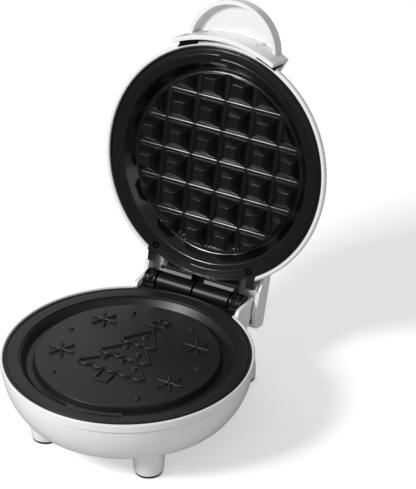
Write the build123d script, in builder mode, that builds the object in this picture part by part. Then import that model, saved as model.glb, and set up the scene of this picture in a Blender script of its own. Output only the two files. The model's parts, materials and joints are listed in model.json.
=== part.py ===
from build123d import *
from math import asin, atan2, cos, degrees, radians, sin, sqrt
import os

# Mini waffle maker: a round base on four legs and a domed lid on a rear hinge, open at rest.
# Millimetres. +Z is up, -Y is the front, and the origin lies on the floor under the middle of
# the open object. Heights in the base count from the seam plane, which is the top of the base
# plate's flange. Heights in the lid count from the face of its own flange, into the dome.

# Clearances
seat_gap = 0.15
side_gap = 0.3
pin_fit = 0.05

# Plates and rims
base_flange_r = 61.8
lid_flange_r = 61.0
rim_r = 63.3
rim_crown = 0.6
rim_depth = 3.6
groove = 0.5
plate_wall = 2.8
plate_flange = 2.6
plate_drop = 3.2
rim_ledge_r = 57.5
spigot_r = 59.6
spigot_depth = 8.0
shell_wall = 2.3

# Base bowl, legs and rear housing
seam_height = 41.5
bowl_top_r = 62.8
bowl_mid_r = 60.6
bowl_foot_r = 54.6
bowl_mid_depth = 14.5
bowl_depth = 26.4
bowl_corner = 3.0
leg_x = 29.8
front_leg_y = -30.8
rear_leg_y = 63.5
leg_foot_r = 7.3
rear_leg_r = 7.2
pad_r = 6.9
pad_height = 1.3
ear_x = 31.0
ear_wall = 2.2
ear_crown = 1.7
housing_rear_y = 67.0
housing_depth = 33.0
deck_depth = 8.9
deck_wall = 2.2

# Hinge
hinge_y = 68.1
hinge_z = -0.5
open_angle = 104.1
closed_gap = 2.0
pin_r = 1.5
knuckle_r = 5.0
knuckle_start = 0.4
knuckle_half = 21.0
washer_r = 3.2
washer_wall = 0.3
block_r = 5.2
lug_start = 3.5
lug_step_half = 22.5
saddle_floor = 2.15
saddle_lip = 1.2
saddle_screw_x = 25.4
saddle_seat = 1.8
block_width = 6.7
saddle_screw_y = 64.8

# Cooking faces
disc_r = 46.0
disc_drop = 0.4
moat_foot_r = 47.2
moat_outer_r = 50.4
moat_depth = 4.2
step_r = 54.0
lid_opening_r = 52.6
lid_floor_r = 48.4
lid_floor_depth = 5.2
peg_pitch = 16.07
peg_foot = 13.4
peg_top = 6.5
peg_drop = 0.4
peg_field_r = 46.2
peg_rows = 6
relief_height = 1.0
relief_line = 1.3

# Lid dome and rear housing
dome_r = 62.6
dome_height = 27.5
dome_start = 1.9
crown_r = 130.0
crown_edge_r = 34.0
cheek_x = 34.0
cheek_wall = 2.4
tail_rear_y = 81.4
tail_top = 13.4
tail_end_top = 11.4

# Handle
handle_r_in = 65.0
handle_wall = 2.4
handle_half_angle = 26.0
handle_lip = 6.0
handle_rise = 10.4
handle_screw_x = 14.0
handle_screw_z = 6.0
handle_screw_seat = 55.0
handle_boss_r = 2.5
arch_r = 25.4
arch_centre_y = -59.5
arch_wall = 2.3
arch_start = 3.4
web_wall = 2.0

# Inner parts
element_r = 30.0
tube_r = 3.2
element_gap_half = 24.0
shield_wall = 0.8
base_boss_r = 3.6
base_boss_foot = 9.0
plate_screw_y = 30.8
inner_boss_ring = 19.0
inner_boss_r = 3.0
screw_r = 1.4
screw_head_r = 2.6
screw_head = 1.6
lead_r = 1.1
clamp_wall = 1.2
clamp_gap = 0.7
clamp_width = 8.0
shield_r = 34.0
inlet_r = 5.0
inlet_z = -24.0
cord_r = 3.2

# Places that follow from the sizes above
inner_half = ear_x - ear_wall
saddle_half = inner_half - 0.2
turn = radians(open_angle)
lid_rise = closed_gap - hinge_z
lid_origin_y = hinge_y - hinge_y * cos(turn) + lid_rise * sin(turn)
lid_origin_z = hinge_z + hinge_y * sin(turn) + lid_rise * cos(turn)
handle_tip = arch_r - arch_centre_y
rear_reach = lid_origin_y - handle_tip * cos(turn) + handle_rise * sin(turn)
base_y = -(rear_reach - rim_r) / 2
pivot_z = hinge_z - closed_gap
crown_angle = asin(crown_edge_r / crown_r)
crown_z = dome_height - crown_r
edge_drop = crown_z + crown_r * cos(crown_angle) - dome_start
edge_out = dome_r - crown_edge_r
edge_bulge = edge_out * sin(crown_angle) - edge_drop * cos(crown_angle)
shoulder_r = -(edge_out * edge_out + edge_drop * edge_drop) / (2 * edge_bulge)
shoulder_y = (crown_r - shoulder_r) * sin(crown_angle)
shoulder_z = crown_z + (crown_r - shoulder_r) * cos(crown_angle)
base_tube_z = -plate_drop - seat_gap - tube_r
base_shield_z = -(base_boss_foot + 2.6)
lid_back = lid_floor_depth + plate_wall
lid_tube_z = lid_back + seat_gap + tube_r
lid_shield_z = lid_tube_z + tube_r + 2.4


def framed(origin, tilt):
    """A frame turned back about X by tilt, in radians, with its middle at origin."""
    return Plane(origin=origin, x_dir=(1, 0, 0), z_dir=(0, sin(tilt), cos(tilt)))


def spun(frame, angle):
    """The frame turned about its own upright axis by an angle in degrees."""
    across = frame.x_dir * cos(radians(angle)) + frame.y_dir * sin(radians(angle))
    return Plane(origin=frame.origin, x_dir=across, z_dir=frame.z_dir)


def section_of(frame):
    """The frame's upright plane from side to side, seen from the front."""
    return Plane(origin=frame.origin, x_dir=frame.x_dir, z_dir=-frame.y_dir)


def side_of(frame):
    """The frame's upright plane from front to rear, seen from the right."""
    return Plane(origin=frame.origin, x_dir=frame.y_dir, z_dir=frame.x_dir)


def axis_of(frame):
    """The frame's own upright axis."""
    return Axis(frame.origin, frame.z_dir)


base = framed((0, base_y, seam_height), 0)
lid = framed((0, base_y + lid_origin_y, seam_height + lid_origin_z), turn)
base_section = section_of(base)
base_side = side_of(base)
lid_section = section_of(lid)
lid_side = side_of(lid)
inlet_wall = Plane(
    origin=(0, base_y + housing_rear_y, seam_height + inlet_z),
    x_dir=(1, 0, 0),
    z_dir=(0, 1, 0),
)


def save(part, name):
    """Label one finished piece and write its file."""
    part.label = name
    export_step(part, f"parts/{name}.step")


def turned(frame, points):
    """Revolve a closed outline of (radius, height) points about the frame's upright axis."""
    with BuildSketch(section_of(frame)) as outline:
        with BuildLine():
            Polyline(*points, close=True)
        make_face()
    revolve(outline.sketch, axis=axis_of(frame))


def slab(side, reach, points, mode=Mode.ADD):
    """Extrude a closed outline of (rear, up) points evenly across, reach to each side."""
    with BuildSketch(side) as outline:
        with BuildLine():
            Polyline(*points, close=True)
        make_face()
    extrude(outline.sketch, amount=reach, both=True, mode=mode)


def twin(side, start, end, points, mode=Mode.ADD):
    """Extrude a closed outline twice, once on each side of the middle, from start to end."""
    for shift in (start, -end):
        with BuildSketch(side.offset(shift)) as outline:
            with BuildLine():
                Polyline(*points, close=True)
            make_face()
        extrude(outline.sketch, amount=end - start, mode=mode)


def pins(frame, low, high, radius, spots, mode=Mode.ADD):
    """Upright round pins, or holes, at the given (x, y) spots from low to high."""
    with BuildSketch(frame.offset(low)) as outline:
        with Locations(*spots):
            Circle(radius)
    extrude(outline.sketch, amount=high - low, mode=mode)


def rods(side, start, end, radius, spot, mode=Mode.ADD):
    """A matching round rod, or bore, on each side of the middle from start to end."""
    for shift in (start, -end):
        with BuildSketch(side.offset(shift)) as outline:
            with Locations(spot):
                Circle(radius)
        extrude(outline.sketch, amount=end - start, mode=mode)


def domed(grow, foot):
    """Half of the dome's section, grown outwards by grow and closed at the height foot."""
    low = asin((dome_start - shoulder_z) / (shoulder_r + grow))
    with BuildSketch(lid_section) as outline:
        with BuildLine():
            shoulder = CenterArc(
                (shoulder_y, shoulder_z),
                shoulder_r + grow,
                degrees(low),
                90 - degrees(crown_angle + low),
            )
            crown_turn = degrees(crown_angle)
            crown = CenterArc((0, crown_z), crown_r + grow, 90 - crown_turn, crown_turn)
            wall = Line(shoulder @ 0, ((shoulder @ 0).X, foot))
            middle = Line(wall @ 1, (0, foot))
            Line(middle @ 1, crown @ 1)
        make_face()
    return outline.sketch


def wire_run(side, shift, points, bend):
    """Sweep one round insulated lead along a bent path in an upright plane."""
    with BuildLine(side.offset(shift)) as run:
        FilletPolyline(*points, radius=bend)
    with BuildSketch(Plane(origin=run.line @ 0, z_dir=run.line % 0)) as outline:
        Circle(lead_r)
    sweep(outline.sketch, path=run.line)


def ring_spot(radius, angle):
    """The (x, y) spot at a radius and an angle in degrees, counted from the right."""
    return (radius * cos(radians(angle)), radius * sin(radians(angle)))


os.makedirs("parts", exist_ok=True)

leg_spots = [(leg_x, front_leg_y), (-leg_x, front_leg_y)]
rear_leg_spots = [(leg_x, rear_leg_y), (-leg_x, rear_leg_y)]
screw_spots = [
    (leg_x, front_leg_y),
    (-leg_x, front_leg_y),
    (leg_x, plate_screw_y),
    (-leg_x, plate_screw_y),
]
leg_foot = -(seam_height - pad_height)

# Base bowl: one moulding with its legs and the rear housing that carries the hinge.
housing_outline = [
    (44.0, -housing_depth),
    (housing_rear_y, -housing_depth),
    (housing_rear_y, -13.2),
    (72.3, -7.6),
    (75.8, ear_crown),
    (59.0, ear_crown),
    (54.6, -3.2),
    (44.0, -4.5),
]
with BuildPart() as base_shell:
    with BuildSketch(base_section):
        with BuildLine():
            side = ThreePointArc(
                (bowl_top_r, -rim_depth - groove),
                (bowl_mid_r, -bowl_mid_depth),
                (bowl_foot_r, -bowl_depth + bowl_corner / 2),
            )
            corner = Line(side @ 1, (bowl_foot_r - bowl_corner, -bowl_depth))
            floor = Line(corner @ 1, (0, -bowl_depth))
            middle = Line(floor @ 1, (0, -rim_depth - groove))
            Line(middle @ 1, side @ 0)
        make_face()
    revolve(axis=axis_of(base))
    with BuildSketch(base_side.offset(-ear_x)):
        with BuildLine():
            FilletPolyline(*housing_outline, radius=[1, 1.5, 2, 3, 2, 3.5, 1, 1], close=True)
        make_face()
    extrude(amount=2 * ear_x)
    with BuildSketch(base.offset(leg_foot)):
        with Locations(*leg_spots):
            Circle(leg_foot_r)
    extrude(amount=seam_height - pad_height - bowl_depth + 1, taper=-5)
    with BuildSketch(base.offset(leg_foot)):
        with Locations(*rear_leg_spots):
            Circle(rear_leg_r)
    extrude(amount=seam_height - pad_height - housing_depth + 1)
    leg_ends = base_shell.faces().filter_by(Plane.XY).group_by(Axis.Z)[0]
    fillet(leg_ends.edges(), radius=0.8)
    # The bowl's hollow.
    with BuildSketch(base_section):
        with BuildLine():
            side = ThreePointArc(
                (bowl_top_r - shell_wall, -rim_depth - groove),
                (bowl_mid_r - shell_wall, -bowl_mid_depth),
                (bowl_foot_r - shell_wall, -bowl_depth + shell_wall + bowl_corner / 2),
            )
            corner = Line(side @ 1, (bowl_foot_r - shell_wall - bowl_corner, -bowl_depth + shell_wall))
            floor = Line(corner @ 1, (0, -bowl_depth + shell_wall))
            middle = Line(floor @ 1, (0, ear_crown + 1))
            outer = Line(middle @ 1, (rim_r + side_gap, ear_crown + 1))
            ledge = Line(outer @ 1, (rim_r + side_gap, -rim_depth - groove))
            Line(ledge @ 1, side @ 0)
        make_face()
    revolve(axis=axis_of(base), mode=Mode.SUBTRACT)
    # The housing's hollow, open to the bowl, with the deck under the hinge left as its roof.
    with BuildSketch(base_side.offset(-inner_half)):
        with BuildLine():
            Polyline(
                (40, -bowl_depth + shell_wall),
                (46.2, -bowl_depth + shell_wall),
                (46.2, -housing_depth + shell_wall),
                (housing_rear_y - shell_wall, -housing_depth + shell_wall),
                (housing_rear_y - shell_wall, -deck_depth - deck_wall),
                (40, -deck_depth - deck_wall),
                close=True,
            )
        make_face()
    extrude(amount=2 * inner_half, mode=Mode.SUBTRACT)
    # The well between the ears, where the hinge sits.
    with BuildSketch(base_side.offset(-inner_half)):
        with BuildLine():
            Polyline(
                (50, -deck_depth),
                (78, -deck_depth),
                (78, ear_crown + 1),
                (50, ear_crown + 1),
                close=True,
            )
        make_face()
    extrude(amount=2 * inner_half, mode=Mode.SUBTRACT)
    # The rib under the deck that stops the open lid.
    with BuildSketch(base_side.offset(-18)):
        with BuildLine():
            Polyline(
                (housing_rear_y - 1, -12.6),
                (70.1, -12.6),
                (70.1, -14.2),
                (housing_rear_y - 1, -16.6),
                close=True,
            )
        make_face()
    extrude(amount=36)
    # Posts for the plate screws, the cord inlet and the saddle screw holes.
    with BuildSketch(base.offset(-bowl_depth + 1)):
        with Locations(*screw_spots):
            Circle(base_boss_r + 0.8)
    extrude(amount=bowl_depth - 1 - base_boss_foot - seat_gap)
    with BuildSketch(base.offset(-seam_height)):
        with Locations(*screw_spots):
            Circle(screw_r + 0.15)
    extrude(amount=seam_height, mode=Mode.SUBTRACT)
    with BuildSketch(base.offset(-seam_height)):
        with Locations(*screw_spots):
            Circle(screw_head_r + 0.3)
    extrude(amount=seam_height - bowl_depth + 2.4, mode=Mode.SUBTRACT)
    with BuildSketch(base.offset(-deck_depth - 4)):
        with Locations((saddle_screw_x, saddle_screw_y), (-saddle_screw_x, saddle_screw_y)):
            Circle(screw_r + pin_fit)
    extrude(amount=5, mode=Mode.SUBTRACT)
    with BuildSketch(inlet_wall):
        Circle(inlet_r)
    extrude(amount=10, both=True, mode=Mode.SUBTRACT)
save(base_shell.part, "base_shell")

# Rim ring: the ring above the bowl that the base plate drops into, open between the ears.
ledge = -plate_flange - seat_gap
seat_r = base_flange_r + seat_gap
with BuildPart() as base_rim:
    turned(
        base,
        [
            (rim_r, -rim_depth),
            (rim_r, 0),
            (rim_r - 0.25, rim_crown - 0.15),
            (rim_r - 0.6, rim_crown),
            (seat_r + 0.3, rim_crown),
            (seat_r, rim_crown - 0.3),
            (seat_r, ledge),
            (rim_ledge_r, ledge),
            (rim_ledge_r, ledge - 2.2),
            (spigot_r - 1.2, ledge - 2.2),
            (spigot_r - 1.2, -spigot_depth),
            (spigot_r, -spigot_depth),
            (spigot_r, -rim_depth),
        ],
    )
    slab(
        base_side,
        inner_half + 0.2,
        [(40, -10), (70, -10), (70, 2), (40, 2)],
        Mode.SUBTRACT,
    )
save(base_rim.part, "base_rim")

# Relief on the base plate: a scalloped fir tree, a star, baubles and snow crystals in raised lines.
tree_top = 25.0
tier_step = 13.5
tier_half = 9.5
tier_grow = 4.6
star_r = 5.6
ball_spots = [(0, 17), (-4, 5), (5, 2), (-9, -8), (1, -7), (10, -10)]
flake_spots = [(-27, 22), (27, 22), (-31, -12), (31, -12)]
dot_spots = [(-17, 34), (17, 34), (-37, 6), (37, 6), (-24, -31), (24, -31)]
with BuildPart() as relief:
    with BuildSketch(base.offset(-disc_drop - 0.2)):
        for tier in range(3):
            top = tree_top - tier * tier_step
            foot = top - tier_step
            half = tier_half + tier * tier_grow
            neck = 0.5 * half - 0.5 * tier_half
            slope = degrees(atan2(tier_step, half - neck))
            side_length = sqrt(tier_step * tier_step + (half - neck) * (half - neck))
            with Locations(((half + neck) / 2, top - tier_step / 2)):
                SlotOverall(side_length + relief_line, relief_line, rotation=-slope)
            with Locations((-(half + neck) / 2, top - tier_step / 2)):
                SlotOverall(side_length + relief_line, relief_line, rotation=slope)
            scallops = 3 + tier
            width = 2 * half / scallops
            for index in range(scallops):
                start = (-half + index * width, foot)
                low = (-half + (index + 0.5) * width, foot - 2.4)
                end = (-half + (index + 1) * width, foot)
                SlotArc(ThreePointArc(start, low, end, mode=Mode.PRIVATE), relief_line)
        with Locations((0, tree_top - 3 * tier_step - 7.0)):
            Rectangle(8.6, 9.0)
            Rectangle(6.0, 6.4, mode=Mode.SUBTRACT)
        with Locations((0, tree_top + 5)):
            RegularPolygon(star_r, 3, rotation=90)
            RegularPolygon(star_r, 3, rotation=30)
        with Locations(*ball_spots):
            Circle(1.9)
        with Locations(*dot_spots):
            Circle(1.6)
        with Locations(*flake_spots):
            SlotOverall(13.0, relief_line)
            SlotOverall(13.0, relief_line, rotation=60)
            SlotOverall(13.0, relief_line, rotation=120)
            with PolarLocations(4.3, 6):
                Circle(1.1)
    extrude(amount=relief_height + 0.2)

# Base plate: the lower cooking face with its moat, screw bosses underneath and the relief.
inner_spots = [ring_spot(inner_boss_ring, angle) for angle in (90, 210, 330)]
with BuildPart() as base_plate:
    turned(
        base,
        [
            (base_flange_r, -plate_flange),
            (base_flange_r, 0),
            (base_flange_r - 0.9, 0),
            (base_flange_r - 1.1, -0.5),
            (base_flange_r - 1.7, -0.5),
            (base_flange_r - 1.9, 0),
            (step_r, 0),
            (step_r, -0.8),
            (step_r - 0.8, -0.8),
            (moat_outer_r, -moat_depth),
            (moat_foot_r, -moat_depth),
            (disc_r, -disc_drop),
            (0, -disc_drop),
            (0, -plate_drop),
            (disc_r - 2.0, -plate_drop),
            (disc_r - 0.8, -moat_depth - plate_wall),
            (moat_outer_r + 2.0, -moat_depth - plate_wall),
            (step_r + 1.6, -plate_flange),
        ],
    )
    pins(base, -base_boss_foot, -plate_drop + 0.5, base_boss_r, screw_spots)
    pins(base, base_shield_z + seat_gap, -plate_drop + 0.5, inner_boss_r, inner_spots)
    pins(base, -base_boss_foot - 1, -plate_drop - 0.6, screw_r + pin_fit, screw_spots, Mode.SUBTRACT)
    pins(base, base_shield_z - 1, -plate_drop - 0.6, screw_r + pin_fit, inner_spots, Mode.SUBTRACT)
    with BuildSketch(base_section):
        with BuildLine():
            Polyline(
                (moat_outer_r + 0.6, -moat_depth),
                (moat_outer_r + 2.8, -0.1),
                (step_r - 0.8, -0.1),
                (step_r - 0.4, -1.4),
                (moat_outer_r + 2.0, -moat_depth - 0.4),
                close=True,
            )
        make_face()
    revolve(axis=Axis(base.origin, -base.z_dir), revolution_arc=30)
    add(relief.part)
save(base_plate.part, "base_plate")

# Hinge saddle: floor, front lip and the two end blocks that hold the pin.
saddle_foot = -deck_depth + seat_gap
saddle_top = saddle_foot + saddle_floor
with BuildPart() as base_hinge_saddle:
    slab(
        base_side,
        saddle_half,
        [(60.6, saddle_foot), (71.0, saddle_foot), (71.0, saddle_top), (60.6, saddle_top)],
    )
    with BuildSketch(base.offset(saddle_foot)):
        with Locations((0, 58.5)):
            Rectangle(2 * saddle_half, 10)
        Circle(base_flange_r + 0.25, mode=Mode.SUBTRACT)
    extrude(amount=-saddle_lip - saddle_foot)
    twin(
        base_side,
        saddle_half - block_width,
        saddle_half,
        [
            (hinge_y - block_r, saddle_foot),
            (hinge_y + block_r, saddle_foot),
            (hinge_y + block_r, hinge_z),
            (hinge_y - block_r, hinge_z),
        ],
    )
    rods(base_side, saddle_half - block_width, saddle_half, block_r, (hinge_y, hinge_z))
    rods(
        base_side,
        -1,
        saddle_half - block_width,
        knuckle_r + 0.4,
        (hinge_y, hinge_z),
        Mode.SUBTRACT,
    )
    rods(base_side, -1, ear_x, pin_r + pin_fit, (hinge_y, hinge_z), Mode.SUBTRACT)
    saddle_spots = [(saddle_screw_x, saddle_screw_y), (-saddle_screw_x, saddle_screw_y)]
    pins(base, -deck_depth - 1, 8, screw_r + pin_fit, saddle_spots, Mode.SUBTRACT)
    pins(base, saddle_seat, 8, screw_head_r - 0.2, saddle_spots, Mode.SUBTRACT)
save(base_hinge_saddle.part, "base_hinge_saddle")

# Pin, washers and the saddle's screws.
with BuildPart() as hinge_pin:
    with BuildSketch(base_side):
        with Locations((hinge_y, hinge_z)):
            Circle(pin_r)
    extrude(amount=saddle_half - 0.2, both=True)
    chamfer(hinge_pin.edges().filter_by(GeomType.CIRCLE), length=0.3)
save(hinge_pin.part, "hinge_pin")

washer_start = knuckle_half + side_gap
with BuildPart() as hinge_washers:
    rods(base_side, washer_start, washer_start + washer_wall, washer_r, (hinge_y, hinge_z))
    rods(
        base_side,
        washer_start,
        washer_start + washer_wall,
        pin_r + pin_fit,
        (hinge_y, hinge_z),
        Mode.SUBTRACT,
    )
save(hinge_washers.part, "hinge_washers")


def screws(frame, tip, seat, head_r, spots, up):
    """Cross-head screws along the frame's height, tip to seat, with the head beyond the seat."""
    pins(frame, min(tip, seat), max(tip, seat), screw_r, spots)
    top = seat + screw_head * up
    pins(frame, min(seat, top), max(seat, top), head_r, spots)
    with BuildSketch(frame.offset(top)) as cross:
        with Locations(*spots):
            Rectangle(0.6, 2.6)
            Rectangle(2.6, 0.6)
    extrude(cross.sketch, amount=-0.8 * up, mode=Mode.SUBTRACT)


with BuildPart() as saddle_screws:
    screws(base, -deck_depth - 3, saddle_seat, screw_head_r - 0.5, saddle_spots, 1)
save(saddle_screws.part, "saddle_screws")

with BuildPart() as base_screws:
    screws(base, -plate_drop - 1.2, -bowl_depth + 2.4, screw_head_r, screw_spots, -1)
save(base_screws.part, "base_screws")

with BuildPart() as foot_pads:
    pins(base, -seam_height, leg_foot, pad_r, leg_spots + rear_leg_spots)
    chamfer(foot_pads.faces().filter_by(Plane.XY).group_by(Axis.Z)[0].edges(), length=0.3)
save(foot_pads.part, "foot_pads")

# Cord inlet bush in the rear wall, with its bore left open.
with BuildPart() as cord_gland:
    with BuildSketch(inlet_wall.offset(seat_gap)):
        Circle(inlet_r + 1.6)
    extrude(amount=1.6)
    with BuildSketch(inlet_wall.offset(-6)):
        Circle(inlet_r - 0.1)
    extrude(amount=6.5)
    with BuildSketch(inlet_wall):
        Circle(cord_r)
    extrude(amount=12, both=True, mode=Mode.SUBTRACT)
save(cord_gland.part, "cord_gland")


# Heating element under the base plate, its clamps and the heat shield below it.
pin_spots = [ring_spot(element_r, 90 - element_gap_half), ring_spot(element_r, 90 + element_gap_half)]


def heater(frame, height, pin_end):
    """A round heating tube, open at the rear, with two cold pins turned away from the plate."""
    opened = spun(frame, 90 + element_gap_half)
    with BuildSketch(section_of(opened)) as outline:
        with Locations((element_r, height)):
            Circle(tube_r)
    revolve(outline.sketch, axis=axis_of(frame), revolution_arc=360 - 2 * element_gap_half)
    pins(frame, min(height, pin_end), max(height, pin_end), tube_r - 1.4, pin_spots)


def clamps(frame, foot, top, angles):
    """Arched straps over the heating tube, from the plate's back to top, at the given angles."""
    up = 1 if top > foot else -1
    for angle in angles:
        strap = spun(frame, angle)
        with BuildSketch(section_of(strap)) as outline:
            with Locations((element_r, (foot + top) / 2)):
                Rectangle(2 * (tube_r + clamp_gap + clamp_wall), abs(top - foot))
            with Locations((element_r, (foot + top - clamp_wall * up) / 2)):
                Rectangle(2 * (tube_r + clamp_gap), abs(top - foot) - clamp_wall, mode=Mode.SUBTRACT)
        extrude(outline.sketch, amount=clamp_width / 2, both=True)


with BuildPart() as base_element:
    heater(base, base_tube_z, base_shield_z - 2)
save(base_element.part, "base_element")

with BuildPart() as base_element_clamps:
    clamps(base, -plate_drop - seat_gap, base_shield_z + side_gap, (210, 270, 330))
save(base_element_clamps.part, "base_element_clamps")


def shield(frame, height, spots):
    """A round heat shield with screw holes and a rear notch for the cold pins."""
    with BuildSketch(frame.offset(height)) as outline:
        Circle(shield_r)
        with Locations((0, shield_r)):
            Rectangle(2 * 17, 2 * 12, mode=Mode.SUBTRACT)
        with Locations(*spots):
            Circle(screw_r + pin_fit, mode=Mode.SUBTRACT)
    extrude(outline.sketch, amount=shield_wall)


with BuildPart() as base_heat_shield:
    shield(base, base_shield_z - shield_wall, inner_spots)
save(base_heat_shield.part, "base_heat_shield")

with BuildPart() as base_shield_screws:
    seat = base_shield_z - shield_wall - seat_gap
    screws(base, -plate_drop - 1.4, seat, screw_head_r, inner_spots, -1)
save(base_shield_screws.part, "base_shield_screws")

# Thermal fuse under the heat shield and the clip around it.
fuse_r = 2.2
fuse_z = base_shield_z - shield_wall - 0.8 - fuse_r
fuse_y = -8.0
with BuildPart() as thermal_fuse:
    with BuildSketch(base_side):
        with Locations((fuse_y, fuse_z)):
            Circle(fuse_r)
    extrude(amount=7, both=True)
    with BuildSketch(base_side):
        with Locations((fuse_y, fuse_z)):
            Circle(0.6)
    extrude(amount=11, both=True)
save(thermal_fuse.part, "thermal_fuse")

with BuildPart() as fuse_clip:
    with BuildSketch(base_side):
        with Locations((fuse_y, fuse_z)):
            Circle(fuse_r + 0.65)
            Circle(fuse_r + 0.05, mode=Mode.SUBTRACT)
        with Locations((fuse_y, fuse_z + fuse_r + 0.4)):
            Rectangle(16, 0.5)
        with Locations((fuse_y, fuse_z)):
            Circle(fuse_r + 0.05, mode=Mode.SUBTRACT)
    extrude(amount=4, both=True)
save(fuse_clip.part, "fuse_clip")

# Terminal block on the housing floor and the leads to the heating element.
block_front = 50.0
block_top = -20.5
block_foot = -housing_depth + shell_wall + seat_gap
with BuildPart() as terminal_block:
    slab(
        base_side,
        16,
        [
            (block_front, block_foot),
            (block_front + 8, block_foot),
            (block_front + 8, block_top),
            (block_front, block_top),
        ],
    )
    wire_y = block_front + 4
    wire_spots = [(-12.2, wire_y), (0, wire_y), (12.2, wire_y)]
    pins(base, block_top - 3, block_top + 1, 1.8, wire_spots, Mode.SUBTRACT)
save(terminal_block.part, "terminal_block")

pin_x = element_r * sin(radians(element_gap_half))
pin_y = element_r * cos(radians(element_gap_half))
with BuildPart() as base_leads:
    for shift in (pin_x, -pin_x):
        wire_run(
            base_side,
            shift,
            [(pin_y, base_shield_z - 2.2), (pin_y, -21.8), (block_front - 0.2, -21.8)],
            3.0,
        )
save(base_leads.part, "base_leads")

# Lid plate: the upper cooking face, a pan of pegs.
lid_down = Plane(origin=lid.offset(lid_floor_depth + 0.3).origin, x_dir=(1, 0, 0), z_dir=-lid.z_dir)
peg_height = lid_floor_depth + 0.3 - peg_drop
peg_slope = degrees(atan2((peg_foot - peg_top) / 2, lid_floor_depth - peg_drop))
row = [peg_pitch * (index - (peg_rows - 1) / 2) for index in range(peg_rows)]
peg_spots = [(x, y) for x in row for y in row if sqrt(x * x + y * y) < 52]
peg_start = peg_foot + 2 * 0.3 * (peg_foot - peg_top) / 2 / (lid_floor_depth - peg_drop)
with BuildPart() as pegs:
    with BuildSketch(lid_down):
        with Locations(*peg_spots):
            RectangleRounded(peg_start, peg_start, 1.4)
    extrude(amount=peg_height, taper=peg_slope)
    with BuildSketch(lid.offset(-2)):
        Circle(peg_field_r)
    extrude(amount=lid_floor_depth + 4, mode=Mode.INTERSECT)

lid_screw_spots = [(27.5, 50.8), (-27.5, 50.8)]
bracket_spots = [(12, 57.0), (-12, 57.0)]
with BuildPart() as lid_plate:
    turned(
        lid,
        [
            (lid_flange_r, plate_flange),
            (lid_flange_r, 0),
            (lid_flange_r - 0.9, 0),
            (lid_flange_r - 1.1, 0.5),
            (lid_flange_r - 1.7, 0.5),
            (lid_flange_r - 1.9, 0),
            (lid_opening_r, 0),
            (lid_floor_r, lid_floor_depth),
            (0, lid_floor_depth),
            (0, lid_back),
            (lid_floor_r + 2.0, lid_back),
            (lid_opening_r + 2.6, plate_flange),
        ],
    )
    add(pegs.part)
    with BuildSketch(lid):
        with Locations((29.0, 55.0), (-29.0, 55.0)):
            Rectangle(4.8, 10)
    extrude(amount=plate_flange)
    pins(lid, lid_back - 0.5, lid_shield_z - seat_gap, inner_boss_r, inner_spots)
    pins(lid, lid_back - 1.5, lid_shield_z + 1, screw_r + pin_fit, inner_spots, Mode.SUBTRACT)
    pins(lid, -1, plate_flange + 1, screw_r + pin_fit, lid_screw_spots, Mode.SUBTRACT)
    pins(lid, -1, screw_head, screw_head_r - 0.4, lid_screw_spots, Mode.SUBTRACT)
    pins(lid, 0.8, plate_flange + 1, screw_r + pin_fit, bracket_spots, Mode.SUBTRACT)
save(lid_plate.part, "lid_plate")

# Lid rim: the ring around the lid plate, open between the cheeks and notched for the insert.
cheek_in = cheek_x - cheek_wall
notch_r = lid_flange_r + 1.05
with BuildPart() as lid_rim:
    turned(
        lid,
        [
            (lid_flange_r + seat_gap, -0.1),
            (lid_flange_r + seat_gap + 0.4, -0.6),
            (rim_r - 0.8, -0.7),
            (rim_r - 0.2, -0.3),
            (rim_r, 0.4),
            (rim_r, dome_start - seat_gap),
            (lid_flange_r + seat_gap, dome_start - seat_gap),
        ],
    )
    slab(lid_side, cheek_in, [(40, -2), (70, -2), (70, 3), (40, 3)], Mode.SUBTRACT)
    with BuildSketch(lid.offset(-2)):
        with Locations((22.35, -60), (-22.35, -60)):
            Rectangle(11.3, 40)
        Circle(notch_r, mode=Mode.SUBTRACT)
    extrude(amount=6, mode=Mode.SUBTRACT)
save(lid_rim.part, "lid_rim")

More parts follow.
